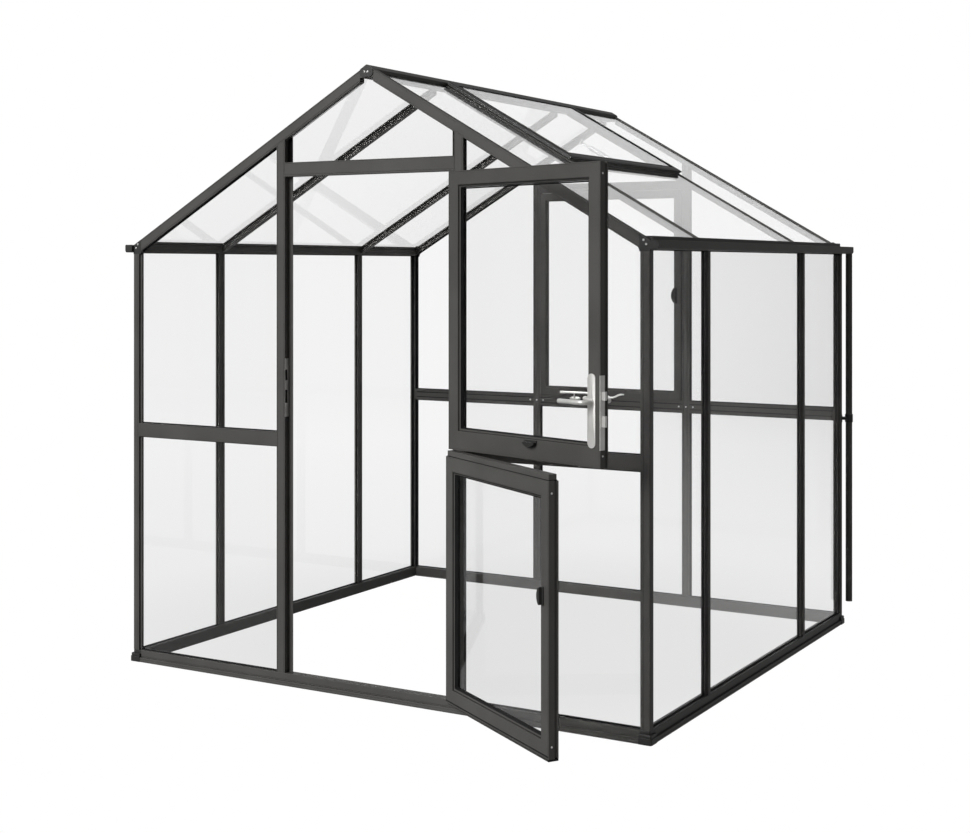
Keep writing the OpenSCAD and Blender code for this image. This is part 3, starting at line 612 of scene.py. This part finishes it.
def makeRafters():
    gable = [(0, 0), (30, 0), (30, -14), (38, -14), (38, -18), (30, -18), (30, -40), (0, -40), (0, -36),
             (1.1, -36), (1.1, -34.5), (0, -34.5), (0, -6), (1.1, -6), (1.1, -4.5), (0, -4.5)]
    rear = [(depth / mm, -6), (depth / mm - 30, -6)] + [(depth / mm - y, w) for y, w in gable[2:-4]]
    bm = bmesh.new()
    slopeBar(bm, scaled(gable), high("ridge_beam").x, eaveX)
    slopeBar(bm, scaled(rear), high("ridge_beam").x, eaveX)
    mirrorX(bm)
    finishPiece("gableRafters", bm, "powderCoat", nodes=["gable_rafters"])
    # the glazing caps of the middle rafters lie low over the panes
    middle = bothSides([(4, -8), (4, -7), (12, -7), (12, -14), (20, -14), (20, -18), (12, -18), (12, -27),
                        (10.4, -27), (10.4, -30), (12, -30), (12, -40)])
    bm = bmesh.new()
    for y in bayYs:
        slopeBar(bm, scaled(middle, shift=(y, 0)), high("ridge_beam").x, eaveX)
    mirrorX(bm)
    finishPiece("middleRafters", bm, "powderCoat", nodes=["middle_rafters"])


def makeRidge():
    top, w = house["ridgeZ"], high("ridge_beam").x / mm
    side = -w * slope  # where the beam's side meets the roof line, below the ridge
    base = (low("ridge_beam").z - top) / mm
    rightHalf = [(w - 2, base), (w, base + 2), (w, side - 14), (w - 1.6, side - 14), (w - 1.6, side - 11),
                 (w, side - 11), (w, side + 1), (w - 3, side + 3.4), (4, -0.6)]
    bm = bmesh.new()
    barAlongY(bm, scaled(bothSides(rightHalf, [(0, 2)]), shift=(0, top)), 0, depth)
    finishPiece("ridgeBeam", bm, "powderCoat", nodes=["ridge_beam"])
    # end plates: a many-sided cap that comes to a point at the ridge
    rightHalf = [(w - 11, -46), (w - 2, -38), (w, -30), (w, side), (w - 5, side + 4), (8, -3)]
    bm = bmesh.new()
    barAlongY(bm, scaled(bothSides(rightHalf, [(0, 1.8)]), shift=(0, top)), -3 * mm, 0)
    mirrorY(bm, depth / 2)
    finishPiece("ridgePlates", bm, "nylon", nodes=["ridge_plates"], edge=1.0)


def makeGutters():
    z0, z1 = low("gutters").z / mm, high("gutters").z / mm
    outline = [(0, z0), (28, z0), (32.5, z0 + 1.3), (35.8, z0 + 4.6), (37, z0 + 9), (37, z1 - 1.2),
               (36, z1), (31.5, z1), (30.5, z1 - 1), (30.5, z1 - 3), (34, z1 - 3), (34, z0 + 9),
               (33, z0 + 6), (31, z0 + 4), (28, z0 + 3), (0, z0 + 3)]
    bm = bmesh.new()
    barAlongY(bm, scaled(outline, shift=(half, 0)), low("gutters").y, high("gutters").y)
    mirrorX(bm)
    finishPiece("gutters", bm, "powderCoat", nodes=["gutters"], edge=0.5)
    cap = outline[:5] + [(37, z1 - 3), (34, z1), (0, z1)]
    bm = bmesh.new()
    for y in (low("gutter_ends").y, high("gutter_ends").y - 3 * mm):
        barAlongY(bm, scaled(cap, shift=(half, 0)), y, y + 3 * mm)
    mirrorX(bm)
    finishPiece("gutterEnds", bm, "nylon", nodes=["gutter_ends"], edge=0.8)


def makeDownpipes():
    radius = (high("downpipes").y - low("downpipes").y) / 2
    wall, z0, z1 = 1.6 * mm, low("downpipes").z, high("downpipes").z
    bm = bmesh.new()
    profile = [(radius, z0), (radius, z1), (radius - wall, z1), (radius - wall, z0)]
    verts = [bm.verts.new((r, 0, z)) for r, z in profile]
    edges = [bm.edges.new((a, b)) for a, b in zip(verts, verts[1:] + verts[:1])]
    bmesh.ops.spin(bm, geom=verts + edges, axis=(0, 0, 1), cent=(0, 0, 0), angle=math.tau,
                   steps=32, use_merge=True)
    bmesh.ops.translate(bm, vec=(high("downpipes").x - radius, high("downpipes").y - radius, 0),
                        verts=bm.verts[:])
    mirrorX(bm)
    finishPiece("downpipes", bm, "powderCoat", nodes=["downpipes"], edge=0, smooth=True)


makeEaveBeams()
makeRafters()
makeRidge()
makeGutters()
makeDownpipes()
for name, node, finish, edge in (
        ("eaveBrackets", "eave_brackets", "nylon", 1.0), ("pipeClamps", "pipe_clamps", "nylon", 0.6),
        ("ventTrimmer", "vent_trimmer", "powderCoat", 0.8), ("windowCatch", "window_catch", "nylon", 1.2),
        ("strikePlate", "strike_plate", "satinSteel", 0.3),
        ("postHinges", "post_hinges", "powderCoat", 0.4)):
    finishPiece(name, joinedCopy(node), finish, nodes=[node], edge=edge)
print("roof made")


# Roof vent, in millimetres square to the roof: a low mitred frame that starts below the roof line
vent = {"face": 36, "start": -4, "outline": [
    (3, 0), (36, 0), (36, 7.5), (33, 7.5), (33, 12.5), (36, 12.5), (36, 13), (30, 14), (9, 14), (7, 13),
    (4, 13), (3, 12), (0, 12), (0, 6), (3, 6)], "bead": [(0, 8.2), (3, 8.2), (3, 9.6), (0, 11)]}


# Where a node begins and ends along the right slope, counted from the ridge
def slopeSpan(node):
    along = [(slopePlace.inverted() @ v.co).x for v in frame["nodes"][node].data.vertices]
    return min(along), max(along)


def makeVent():
    u0, u1 = slopeSpan("vent_stiles")
    y0, y1 = low("vent_stiles").y, high("vent_stiles").y
    for name, outline, finish, nodes, inset, w, edge in (
            ("ventFrame", vent["outline"], "nylon", ("vent_stiles", "vent_rails"), 0, vent["start"], 0.5),
            ("ventSeal", vent["bead"], "rubber", (), vent["face"], 0, 0)):
        bm = bmesh.new()
        mitredFrame(bm, scaled(outline), u1 - u0 - 2 * inset * mm, y1 - y0 - 2 * inset * mm)
        bmesh.ops.translate(bm, vec=(u0 + inset * mm, y0 + inset * mm, w * mm), verts=bm.verts[:])
        bmesh.ops.transform(bm, matrix=slopePlace, verts=bm.verts[:])
        finishPiece(name, bm, finish, nodes=nodes, edge=edge)


# Vent opener, in millimetres: a cylinder (distance from the lower end, radius) between two arms
opener = {"under": 22, "cylinder": [(20, 6), (26, 11), (172, 11), (174, 8), (180, 8), (181, 4), (216, 4)],
          "foot": 28, "cheek": (8, 10.5), "arm": (13, 16)}


def makeVentOpener():
    u0, u1 = slopeSpan("vent_opener")
    mid, w = depth / 2, -opener["under"] * mm
    cheekIn, cheekOut, armIn, armOut = (value * mm for value in opener["cheek"] + opener["arm"])
    bm = bmesh.new()
    boxBetween(bm, (u1 - 3 * mm, mid - opener["foot"] * mm, w - 14 * mm),
               (u1, mid + opener["foot"] * mm, w + 16 * mm))
    boxBetween(bm, (u0, mid - 10 * mm, w - 8 * mm), (u0 + 6 * mm, mid + 10 * mm, w + 12 * mm))
    roundSweep(bm, [(u1 - along * mm, mid, w) for along, r in opener["cylinder"]],
               [r * mm for along, r in opener["cylinder"]], 20)
    for side in (-1, 1):
        boxBetween(bm, (u1 - 30 * mm, mid + side * cheekIn, w - 8 * mm),
                   (u1 - 3 * mm, mid + side * cheekOut, w + 8 * mm))
        disc(bm, (u1 - 18 * mm, mid + side * cheekOut, w), (0, side, 0), 4 * mm, 2 * mm, 12)
        boxBetween(bm, (u0, mid + side * armIn, w - 2 * mm),
                   (u1 - 12 * mm, mid + side * armOut, w + 2 * mm))
        disc(bm, (u0 + 3 * mm, mid + side * 10 * mm, w), (0, side, 0), 3 * mm, 7 * mm, 12)
    bmesh.ops.transform(bm, matrix=slopePlace, verts=bm.verts[:])
    finishPiece("ventOpener", bm, "millAluminium", nodes=["vent_opener"], edge=0.4)


makeVent()
makeVentOpener()
print("vent made")


def makeRearWindow():
    corner, opposite = low("window_stiles"), high("window_stiles")
    outline = [(0, 2), (2, 0), (31, 0), (32, 1), (32, 6), (38, 6), (40, 8), (40, 12.5), (37, 12.5),
               (37, 17.5), (40, 17.5), (40, 22), (38, 24), (32, 24), (32, 30), (0, 30), (0, 20),
               (2.4, 20), (2.4, 15), (0, 15)]
    bm = bmesh.new()
    standingFrame(bm, outline, corner, opposite.x - corner.x, opposite.z - corner.z,
                  broader=6 * mm, line=31 * mm)
    finishPiece("windowFrame", bm, "powderCoat", nodes=["window_stiles", "window_rails"], edge=0.5)


# Casement stay, in millimetres: a flat bar that dips and rises again to its handle. The dip's stations
# are (distance from the dip, height above the rail, half height)
stay = {"dipFromEnd": 79, "level": 18, "flat": (0.42, 1), "pegX": -187, "pegDown": 12, "base": 30, "dip": [
    (-32, 18, 6), (-20, 13, 5.6), (-10, 4, 5), (0, 1, 4.6), (14, 1, 4.6), (30, 6, 4.8), (44, 14, 5),
    (58, 18, 5)]}


def makeWindowStay():
    y, z = low("window_stay").y + 2.5 * mm, low("window_rails").z
    x0, x1 = low("window_stay").x, high("window_stay").x
    dipX, level = x1 - stay["dipFromEnd"] * mm, stay["level"]
    path = ([(x0 + 6 * mm, level, 6)] + [(dipX + along * mm, up, r) for along, up, r in stay["dip"]]
            + [(x1 - 3 * mm, level + 0.5, 3)])
    bm = bmesh.new()
    roundSweep(bm, [(x, y, z + up * mm) for x, up, r in path], [r * mm for x, up, r in path], 16,
               stay["flat"])
    # the hinged end, with its pivot
    boxBetween(bm, (x0, y - 1.6 * mm, z + (level - 6) * mm),
               (x0 + 30 * mm, y + 1.6 * mm, z + (level + 6) * mm))
    disc(bm, (x0 + 16 * mm, y + 5.5 * mm, z + level * mm), (0, -1, 0), 5 * mm, 10 * mm, 16)
    # the peg on its oval base
    pegX, pegZ, railFace = stay["pegX"] * mm, z - stay["pegDown"] * mm, depth - house["wall"]
    roundSweep(bm, [(pegX, railFace - out * mm, pegZ) for out in (0, 5, 9)],
               [(stay["base"] - less) * mm for less in (0, 1, 14)], 32, (1, 0.36))
    roundSweep(bm, [(pegX, y, pegZ), (pegX, y, z + 20 * mm), (pegX, y, z + 24 * mm)],
               [3.4 * mm, 3.4 * mm, 2 * mm], 16)
    finishPiece("windowStay", bm, "satinSteel", nodes=["window_stay"], edge=0, smooth=True)


makeRearWindow()
makeWindowStay()
print("rear window made")


# The leaves of the stable door are made shut and then swung open
hinge = Vector(next(j for j in frame["joints"] if j["name"] == "upper_door_hinge")["pos_m"])
leaf = {"outer": hinge.y + 2 * mm, "thick": 38 * mm, "edgeX": house["halfDoor"] - 5 * mm, "bar": 60 * mm,
        "upperOpen": 162, "upperFoot": 78 * mm, "upperHead": 62 * mm,
        "lowerOpen": 147, "lowerFoot": 62 * mm, "lowerHead": 62 * mm}
outer, inner, edgeX = leaf["outer"], leaf["outer"] + leaf["thick"], leaf["edgeX"]


# Swings what was made shut round the hinge, with the leaf that it belongs to
def swing(bm, side):
    turn = Matrix.Rotation(math.radians(leaf[side + "Open"]), 4, "Z")
    bmesh.ops.transform(bm, matrix=Matrix.Translation(hinge) @ turn @ Matrix.Translation(-hinge),
                        verts=bm.verts[:])


# Across the leaf's frame from its edge inwards, and from its outer face to its inner face
leafOutline = [(0.8, 0), (50, 0), (52, 2), (52, 6), (58, 6), (60, 8), (60, 13), (57, 13), (57, 25), (60, 25),
               (60, 30), (58, 32), (52, 32), (52, 36), (50, 38), (5.4, 38), (5.4, 36.9), (4, 36.9),
               (4, 38), (0.8, 38), (0, 37.2), (0, 15), (3.5, 15), (3.5, 5), (0, 5), (0, 0.8)]


def leafFrame(side):
    z0, z1 = low(side + "_door_stiles").z, high(side + "_door_stiles").z
    bm = bmesh.new()
    standingFrame(bm, leafOutline, (-edgeX, outer, z0), 2 * edgeX, z1 - z0,
                  broader=leaf[side + "Foot"] - leaf["bar"], line=45 * mm)
    return bm


# Glazing rubber, and a black line of painted shade in the crease of the frame's step, on both faces of a
# leaf
def leafSealsAndShade(bm, side):
    foot, head = leaf[side + "Foot"], leaf[side + "Head"]
    z0, tall = low(side + "_door_stiles").z, high(side + "_door_stiles").z - low(side + "_door_stiles").z
    for outline, inset, y, lower in (
            ([(0, 0), (4, 0), (4, 1.2), (1.6, 4), (1.2, 9.6), (0, 9.6)], leaf["bar"], 21 * mm, 0),
            # the black line of painted shade in the step's crease
            ([(0, 0), (1.8, 0), (1.8, 1.6), (0, 1.6)], leaf["bar"] - 8 * mm, 31.6 * mm, 8 * mm)):
        standingFrame(bm, outline, (inset - edgeX, outer + y, z0 + foot - lower), 2 * (edgeX - inset),
                      tall - foot - head + 2 * lower)


def makeUpperLeaf():
    bm = leafFrame("upper")
    cutter = bmesh.new()
    boxBetween(cutter, (-edgeX - 1 * mm, outer + 16 * mm, low("lock_case").z),
               (-edgeX + 3 * mm, inner + 1 * mm, high("lock_case").z))
    bm = cutAway(bm, cutter)
    swing(bm, "upper")
    finishPiece("upperDoorFrame", bm, "powderCoat", "upper_door",
                ["upper_door_stiles", "upper_door_rails"], edge=0.5)
    bm = bmesh.new()
    leafSealsAndShade(bm, "upper")
    mirrorY(bm, (outer + inner) / 2)
    swing(bm, "upper")
    finishPiece("upperDoorSealsAndShade", bm, "rubber", "upper_door", edge=0)


def makeLowerLeaf():
    z0 = low("lower_door_stiles").z
    bm = leafFrame("lower")
    swing(bm, "lower")
    finishPiece("lowerDoorFrame", bm, "powderCoat", "lower_door",
                ["lower_door_stiles", "lower_door_rails"], edge=0.5)
    bm = bmesh.new()
    leafSealsAndShade(bm, "lower")
    # painted shade: a black line low on the bottom rail, standing in for the shadow in a groove
    boxBetween(bm, (-edgeX + 1 * mm, inner - 1 * mm, z0 + 6 * mm),
               (edgeX - 1 * mm, inner + 0.2 * mm, z0 + 11 * mm))
    mirrorY(bm, (outer + inner) / 2)
    swing(bm, "lower")
    finishPiece("lowerDoorSealsAndShade", bm, "rubber", "lower_door", edge=0)


# Drip strip under the lower leaf, in millimetres: half its outline inwards from a face and up, with two
# shadow gaps, clear of the sill when shut
drip = {"end": 12, "foot": 6.6, "half": [
    (19, 0), (8, 0), (8, -2.4), (0, -2.4), (0, -4.4), (1.6, -4.4), (1.6, -5.2), (0, -5.2), (0, -6.4),
    (19, -6.4)]}


def makeDripStrip():
    z0, z1 = low("lower_door_stiles").z, high("lower_door_stiles").z
    endX = -edgeX + drip["end"] * mm
    bm = bmesh.new()
    for way, face in ((1, outer), (-1, inner)):
        barAlongX(bm, [(face + way * y * mm, z0 + z * mm) for y, z in drip["half"]], endX, -endX)
    swing(bm, "lower")
    finishPiece("dripStrip", bm, "powderCoat", "lower_door", edge=0.3)
    bm = bmesh.new()
    boxBetween(bm, (-edgeX + 0.5 * mm, outer + 0.5 * mm, z0 - drip["foot"] * mm),
               (endX, inner - 0.5 * mm, z0))
    # seal between the leaf and its weather bar
    boxBetween(bm, (-edgeX + 5 * mm, outer + 2.5 * mm, z1 - 0.5 * mm),
               (edgeX - 5 * mm, inner - 2.5 * mm, z1 + 2.5 * mm))
    swing(bm, "lower")
    finishPiece("lowerDoorFoot", bm, "rubber", "lower_door", edge=0.4)


# Door levers, in millimetres: a round neck that bends into the grip and thins out at its tip
lever = {"set": 38, "plate": 3.3, "rose": 12, "bend": 8.2, "inside": (40, 116), "outside": (52, 128),
         "grip": [(0.5, 0, 7.8), (1, 8, 8), (1, 3, 7.2), (1, 0.8, 5), (1, 0, 2.4)]}


def makeLevers():
    x, z = -edgeX + lever["set"] * mm, (low("door_levers").z + high("door_levers").z) / 2
    bm = bmesh.new()
    for face, way, (neck, reach) in ((inner + lever["plate"] * mm, 1, lever["inside"]),
                                     (outer - lever["plate"] * mm, -1, lever["outside"])):
        straight, bow = 0.6 * neck, 0.4 * neck
        path = [(0, 0, 10), (0, straight, 8.6)]
        for step in range(1, 8):
            a = math.radians(90 * step / 7)
            path.append((bow - bow * math.cos(a), straight + bow * math.sin(a), lever["bend"]))
        path += [(share * reach - short, neck, r) for share, short, r in lever["grip"]]
        roundSweep(bm, [(x + a * mm, face + way * b * mm, z) for a, b, r in path],
                   [r * mm for a, b, r in path], 28)
        disc(bm, (x, face, z), (0, way, 0), lever["rose"] * mm, 4 * mm, 32, 0.86)
    swing(bm, "upper")
    finishPiece("doorLevers", bm, "satinSteel", "lever_set", ["door_levers"], edge=0, smooth=True)


makeUpperLeaf()
makeLowerLeaf()
makeDripStrip()
makeLevers()
for name, node, finish, body, edge in (
        ("upperDoorHinges", "upper_door_hinges", "powderCoat", "upper_door", 0.4),
        ("lowerDoorHinges", "lower_door_hinges", "powderCoat", "lower_door", 0.4),
        ("upperDoorCatch", "upper_door_catch", "nylon", "upper_door", 1.2),
        ("lowerDoorCatch", "lower_door_catch", "nylon", "lower_door", 1.2),
        ("weatherBar", "weather_bar", "powderCoat", "lower_door", 1.5),
        ("leverPlates", "lever_plates", "satinSteel", "upper_door", 0.8),
        ("lockCase", "lock_case", "satinSteel", "upper_door", 0.3),
        ("springLatch", "latch", "satinSteel", "latch_bolt", 0.8),
        ("deadBolt", "lock_bolt", "satinSteel", "dead_bolt", 0.6)):
    finishPiece(name, joinedCopy(node), finish, body, [node], edge=edge)
print("door made")


# Seals round the fixed panes, in millimetres: a narrow rubber strip on both faces of the glass
seal = {"wide": 3.5, "thick": 3}
sealOutline = [(0, 0), (seal["wide"], 0), (seal["wide"], seal["thick"]), (0, seal["thick"])]
sealYs = (house["paneOut"] - seal["thick"] * mm, house["paneOut"] + house["pane"])


def makeWallSeals():
    wide, thick = seal["wide"] * mm, seal["thick"] * mm
    x0, x1 = house["postOut"], half - house["face"]
    sillTop, rail, railTop = house["sillTop"], house["railZ"], house["railZ"] + house["railTall"]
    for name, rear in (("frontWallSeals", False), ("rearWallSeals", True)):
        bm = bmesh.new()
        for y in sealYs:
            standingFrame(bm, sealOutline, (x0, y, sillTop), x1 - x0, rail - sillTop)
            # raked panes above the rail
            barAlongX(bm, [(y, railTop), (y + thick, railTop), (y + thick, railTop + wide),
                           (y, railTop + wide)], x0, x1)
            for x in (x0, x1 - wide):
                for v in barAlongZ(bm, [(x, y), (x + wide, y), (x + wide, y + thick), (x, y + thick)],
                                   railTop, house["ridgeZ"]):
                    v.co.z = underRafter(v.co.x)
            top = underRafter(x0)
            pushOutline(bm, [(x0, y, top), (x0, y + thick, top), (x0, y + thick, top - 4 * mm),
                             (x0, y, top - 4 * mm)], (x1 - x0, 0, -(x1 - x0) * slope))
        mirrorX(bm)
        if rear:
            for y in sealYs:
                standingFrame(bm, sealOutline, (-house["halfDoor"], y, sillTop), 2 * house["halfDoor"],
                              rail - sillTop)
            toRear(bm)
        finishPiece(name, bm, "rubber", edge=0)


def makeSideSeals():
    bm = bmesh.new()
    for y0, y1 in bays(house["face"], 12 * mm):
        for x in (half - house["paneOut"], half - house["paneOut"] - house["pane"] - seal["thick"] * mm):
            standingFrame(bm, sealOutline, (x, y0, house["sillTop"]), y1 - y0,
                          house["eaveLow"] - house["sillTop"], faceX)
    mirrorX(bm)
    finishPiece("sideWallSeals", bm, "rubber", edge=0)


makeWallSeals()
makeSideSeals()
print("seals made")


# Screws, in millimetres: radii of their heads, and how far those on a rail's crossing stand apart
screws = {"house": 4, "leaf": 3.4, "apart": 37, "leafEnd": 40}


def makeHouseScrews():
    radius = screws["house"] * mm
    eaveTop, crossing = house["eaveHigh"], house["postOut"] - 20 * mm
    bm = bmesh.new()
    for x in (-7 * mm, 7 * mm):
        for y, way in ((-3 * mm, -1), (depth + 3 * mm, 1)):
            screw(bm, (x, y, house["ridgeZ"] - 26 * mm), (0, way, 0), radius)
    for side in (-1, 1):
        for x, z in ((half - 24 * mm, eaveTop - 14 * mm), (half - 14 * mm, eaveTop - 29 * mm)):
            for y, way in ((0, -1), (depth, 1)):
                screw(bm, (side * x, y, z), (0, way, 0), radius)
        for step in (-1, 0, 1):
            screw(bm, (side * (crossing + step * screws["apart"] * mm), depth - house["wall"],
                       house["railZ"] + house["railTall"] / 2), (0, -1, 0), radius)
    finishPiece("houseScrews", bm, "zinc", edge=0)


def makeLeafScrews():
    end = screws["leafEnd"] * mm
    for side in ("upper", "lower"):
        node = side + "_door_stiles"
        bm = bmesh.new()
        for z in (low(node).z + end, high(node).z - end):
            screw(bm, (-edgeX, outer + 26 * mm, z), (-1, 0, 0), screws["leaf"] * mm)
        swing(bm, side)
        finishPiece(side + "DoorScrews", bm, "zinc", side + "_door", edge=0)


makeHouseScrews()
makeLeafScrews()
print("screws made")


# The panes stay as they are, only their finish is new
for node, item in frame["nodes"].items():
    if node.endswith("glass"):
        item.data.materials.clear()
        item.data.materials.append(finishes["glass"])


# Strengths of the white surroundings, told apart by the kind of ray that meets them
studio = {"floorReach": 200, "worldFill": 0.17, "floorFill": 0.22, "behindGlass": 0.95, "gleam": 0.35,
          "sky": [(0.06, 0.1), (0.26, 1.03)],  # by height of the heading, as the panes mirror it
          # by distance from the house in twenties of metres, seen through panes and mirrored by them; the
          # dimmer values near the house are painted shade
          "floorShadedThrough": [(0.05, 0.79), (0.12, 0.88), (0.4, 0.94), (1.0, 0.95)],
          "floorShadedMirrored": [(0.06, 0.72), (0.11, 0.8), (0.2, 0.7), (0.6, 0.12)],
          "sunStrength": 3.5, "sunFrom": (-0.31, -0.83, 0.47), "sunSpread": 35}


def grey(value):
    return (value, value, value, 1.0)


def greys(stops):
    return [(position, grey(value)) for position, value in stops]


# Chooses a strength by what the ray did before: nothing, passed a pane, gleamed, mirrored or scattered
def rayStrength(tree, seen, through, gleam, mirrored, scattered):
    path = addNode(tree, "ShaderNodeLightPath").outputs
    sharp = addNode(tree, "ShaderNodeMath", {"operation": "MULTIPLY"},
                    {0: path["Glossy Depth"], 1: path["Is Singular Ray"]}).outputs["Value"]
    value = scattered
    for chance, strength in ((path["Is Glossy Ray"], gleam), (path["Is Transmission Ray"], through),
                             (path["Is Camera Ray"], seen), (sharp, mirrored),
                             (path["Diffuse Depth"], scattered)):
        mix = addNode(tree, "ShaderNodeMix", links={0: chance})
        for socket, source in ((2, value), (3, strength)):
            if isinstance(source, float):
                mix.inputs[socket].default_value = source
            else:
                tree.links.new(source, mix.inputs[socket])
        value = mix.outputs[0]
    return value


def makeFloor():
    bm = bmesh.new()
    bmesh.ops.create_grid(bm, x_segments=1, y_segments=1, size=studio["floorReach"])
    mesh = bpy.data.meshes.new("studioFloor")
    bm.to_mesh(mesh)
    bm.free()
    # glowing white paper; seen through and in the panes it greys softly under the house with painted shade,
    # and fades out far away
    material = bpy.data.materials.new("studio paper")
    tree = emptyTree(material)
    place = addNode(tree, "ShaderNodeTexCoord").outputs["Object"]
    reach = addNode(tree, "ShaderNodeVectorMath", {"operation": "DISTANCE", 1: (0, depth / 2, 0)},
                    {0: place}).outputs["Value"]
    share = addNode(tree, "ShaderNodeMath", {"operation": "DIVIDE", 1: 20.0}, {0: reach}).outputs["Value"]
    through = makeRamp(tree, share, greys(studio["floorShadedThrough"]))
    mirrored = makeRamp(tree, share, greys(studio["floorShadedMirrored"]))
    strength = rayStrength(tree, 1.0, through, studio["gleam"], mirrored, studio["floorFill"])
    glow = addNode(tree, "ShaderNodeEmission", {"Color": grey(1.0)}, {"Strength": strength})
    addNode(tree, "ShaderNodeOutputMaterial", links={"Surface": glow.outputs["Emission"]})
    mesh.materials.append(material)
    floor = bpy.data.objects.new("studioFloor", mesh)
    floor.location.z = -1 * mm
    scene.collection.objects.link(floor)


def makeWorld():
    world = bpy.data.worlds.new("white studio")
    scene.world = world
    tree = emptyTree(world)
    heading = addNode(tree, "ShaderNodeTexCoord").outputs["Generated"]
    up = addNode(tree, "ShaderNodeSeparateXYZ", links={"Vector": heading}).outputs["Z"]
    mirrored = makeRamp(tree, up, greys(studio["sky"]))
    strength = rayStrength(tree, 1.0, studio["behindGlass"], studio["gleam"], mirrored, studio["worldFill"])
    glow = addNode(tree, "ShaderNodeBackground", {"Color": grey(1.0)}, {"Strength": strength})
    addNode(tree, "ShaderNodeOutputWorld", links={"Surface": glow.outputs["Background"]})


def makeSun():
    sun = bpy.data.lights.new("softSun", "SUN")
    sun.energy = studio["sunStrength"]
    sun.angle = math.radians(studio["sunSpread"])
    lamp = bpy.data.objects.new("softSun", sun)
    lamp.rotation_euler = Vector(studio["sunFrom"]).to_track_quat("Z", "Y").to_euler()
    scene.collection.objects.link(lamp)


view = {"place": (3.392, -4.971, 1.636), "turn": 30.03, "lens": 58.77, "sensor": 36, "shiftY": -0.154}


def makeCamera():
    data = bpy.data.cameras.new("studioCamera")
    data.lens = view["lens"]
    data.sensor_width = view["sensor"]
    data.shift_y = view["shiftY"]
    camera = bpy.data.objects.new("studioCamera", data)
    camera.location = view["place"]
    camera.rotation_euler = (math.radians(90), 0, math.radians(view["turn"]))
    scene.collection.objects.link(camera)
    scene.camera = camera


makeFloor()
makeWorld()
makeSun()
makeCamera()
print("studio made")
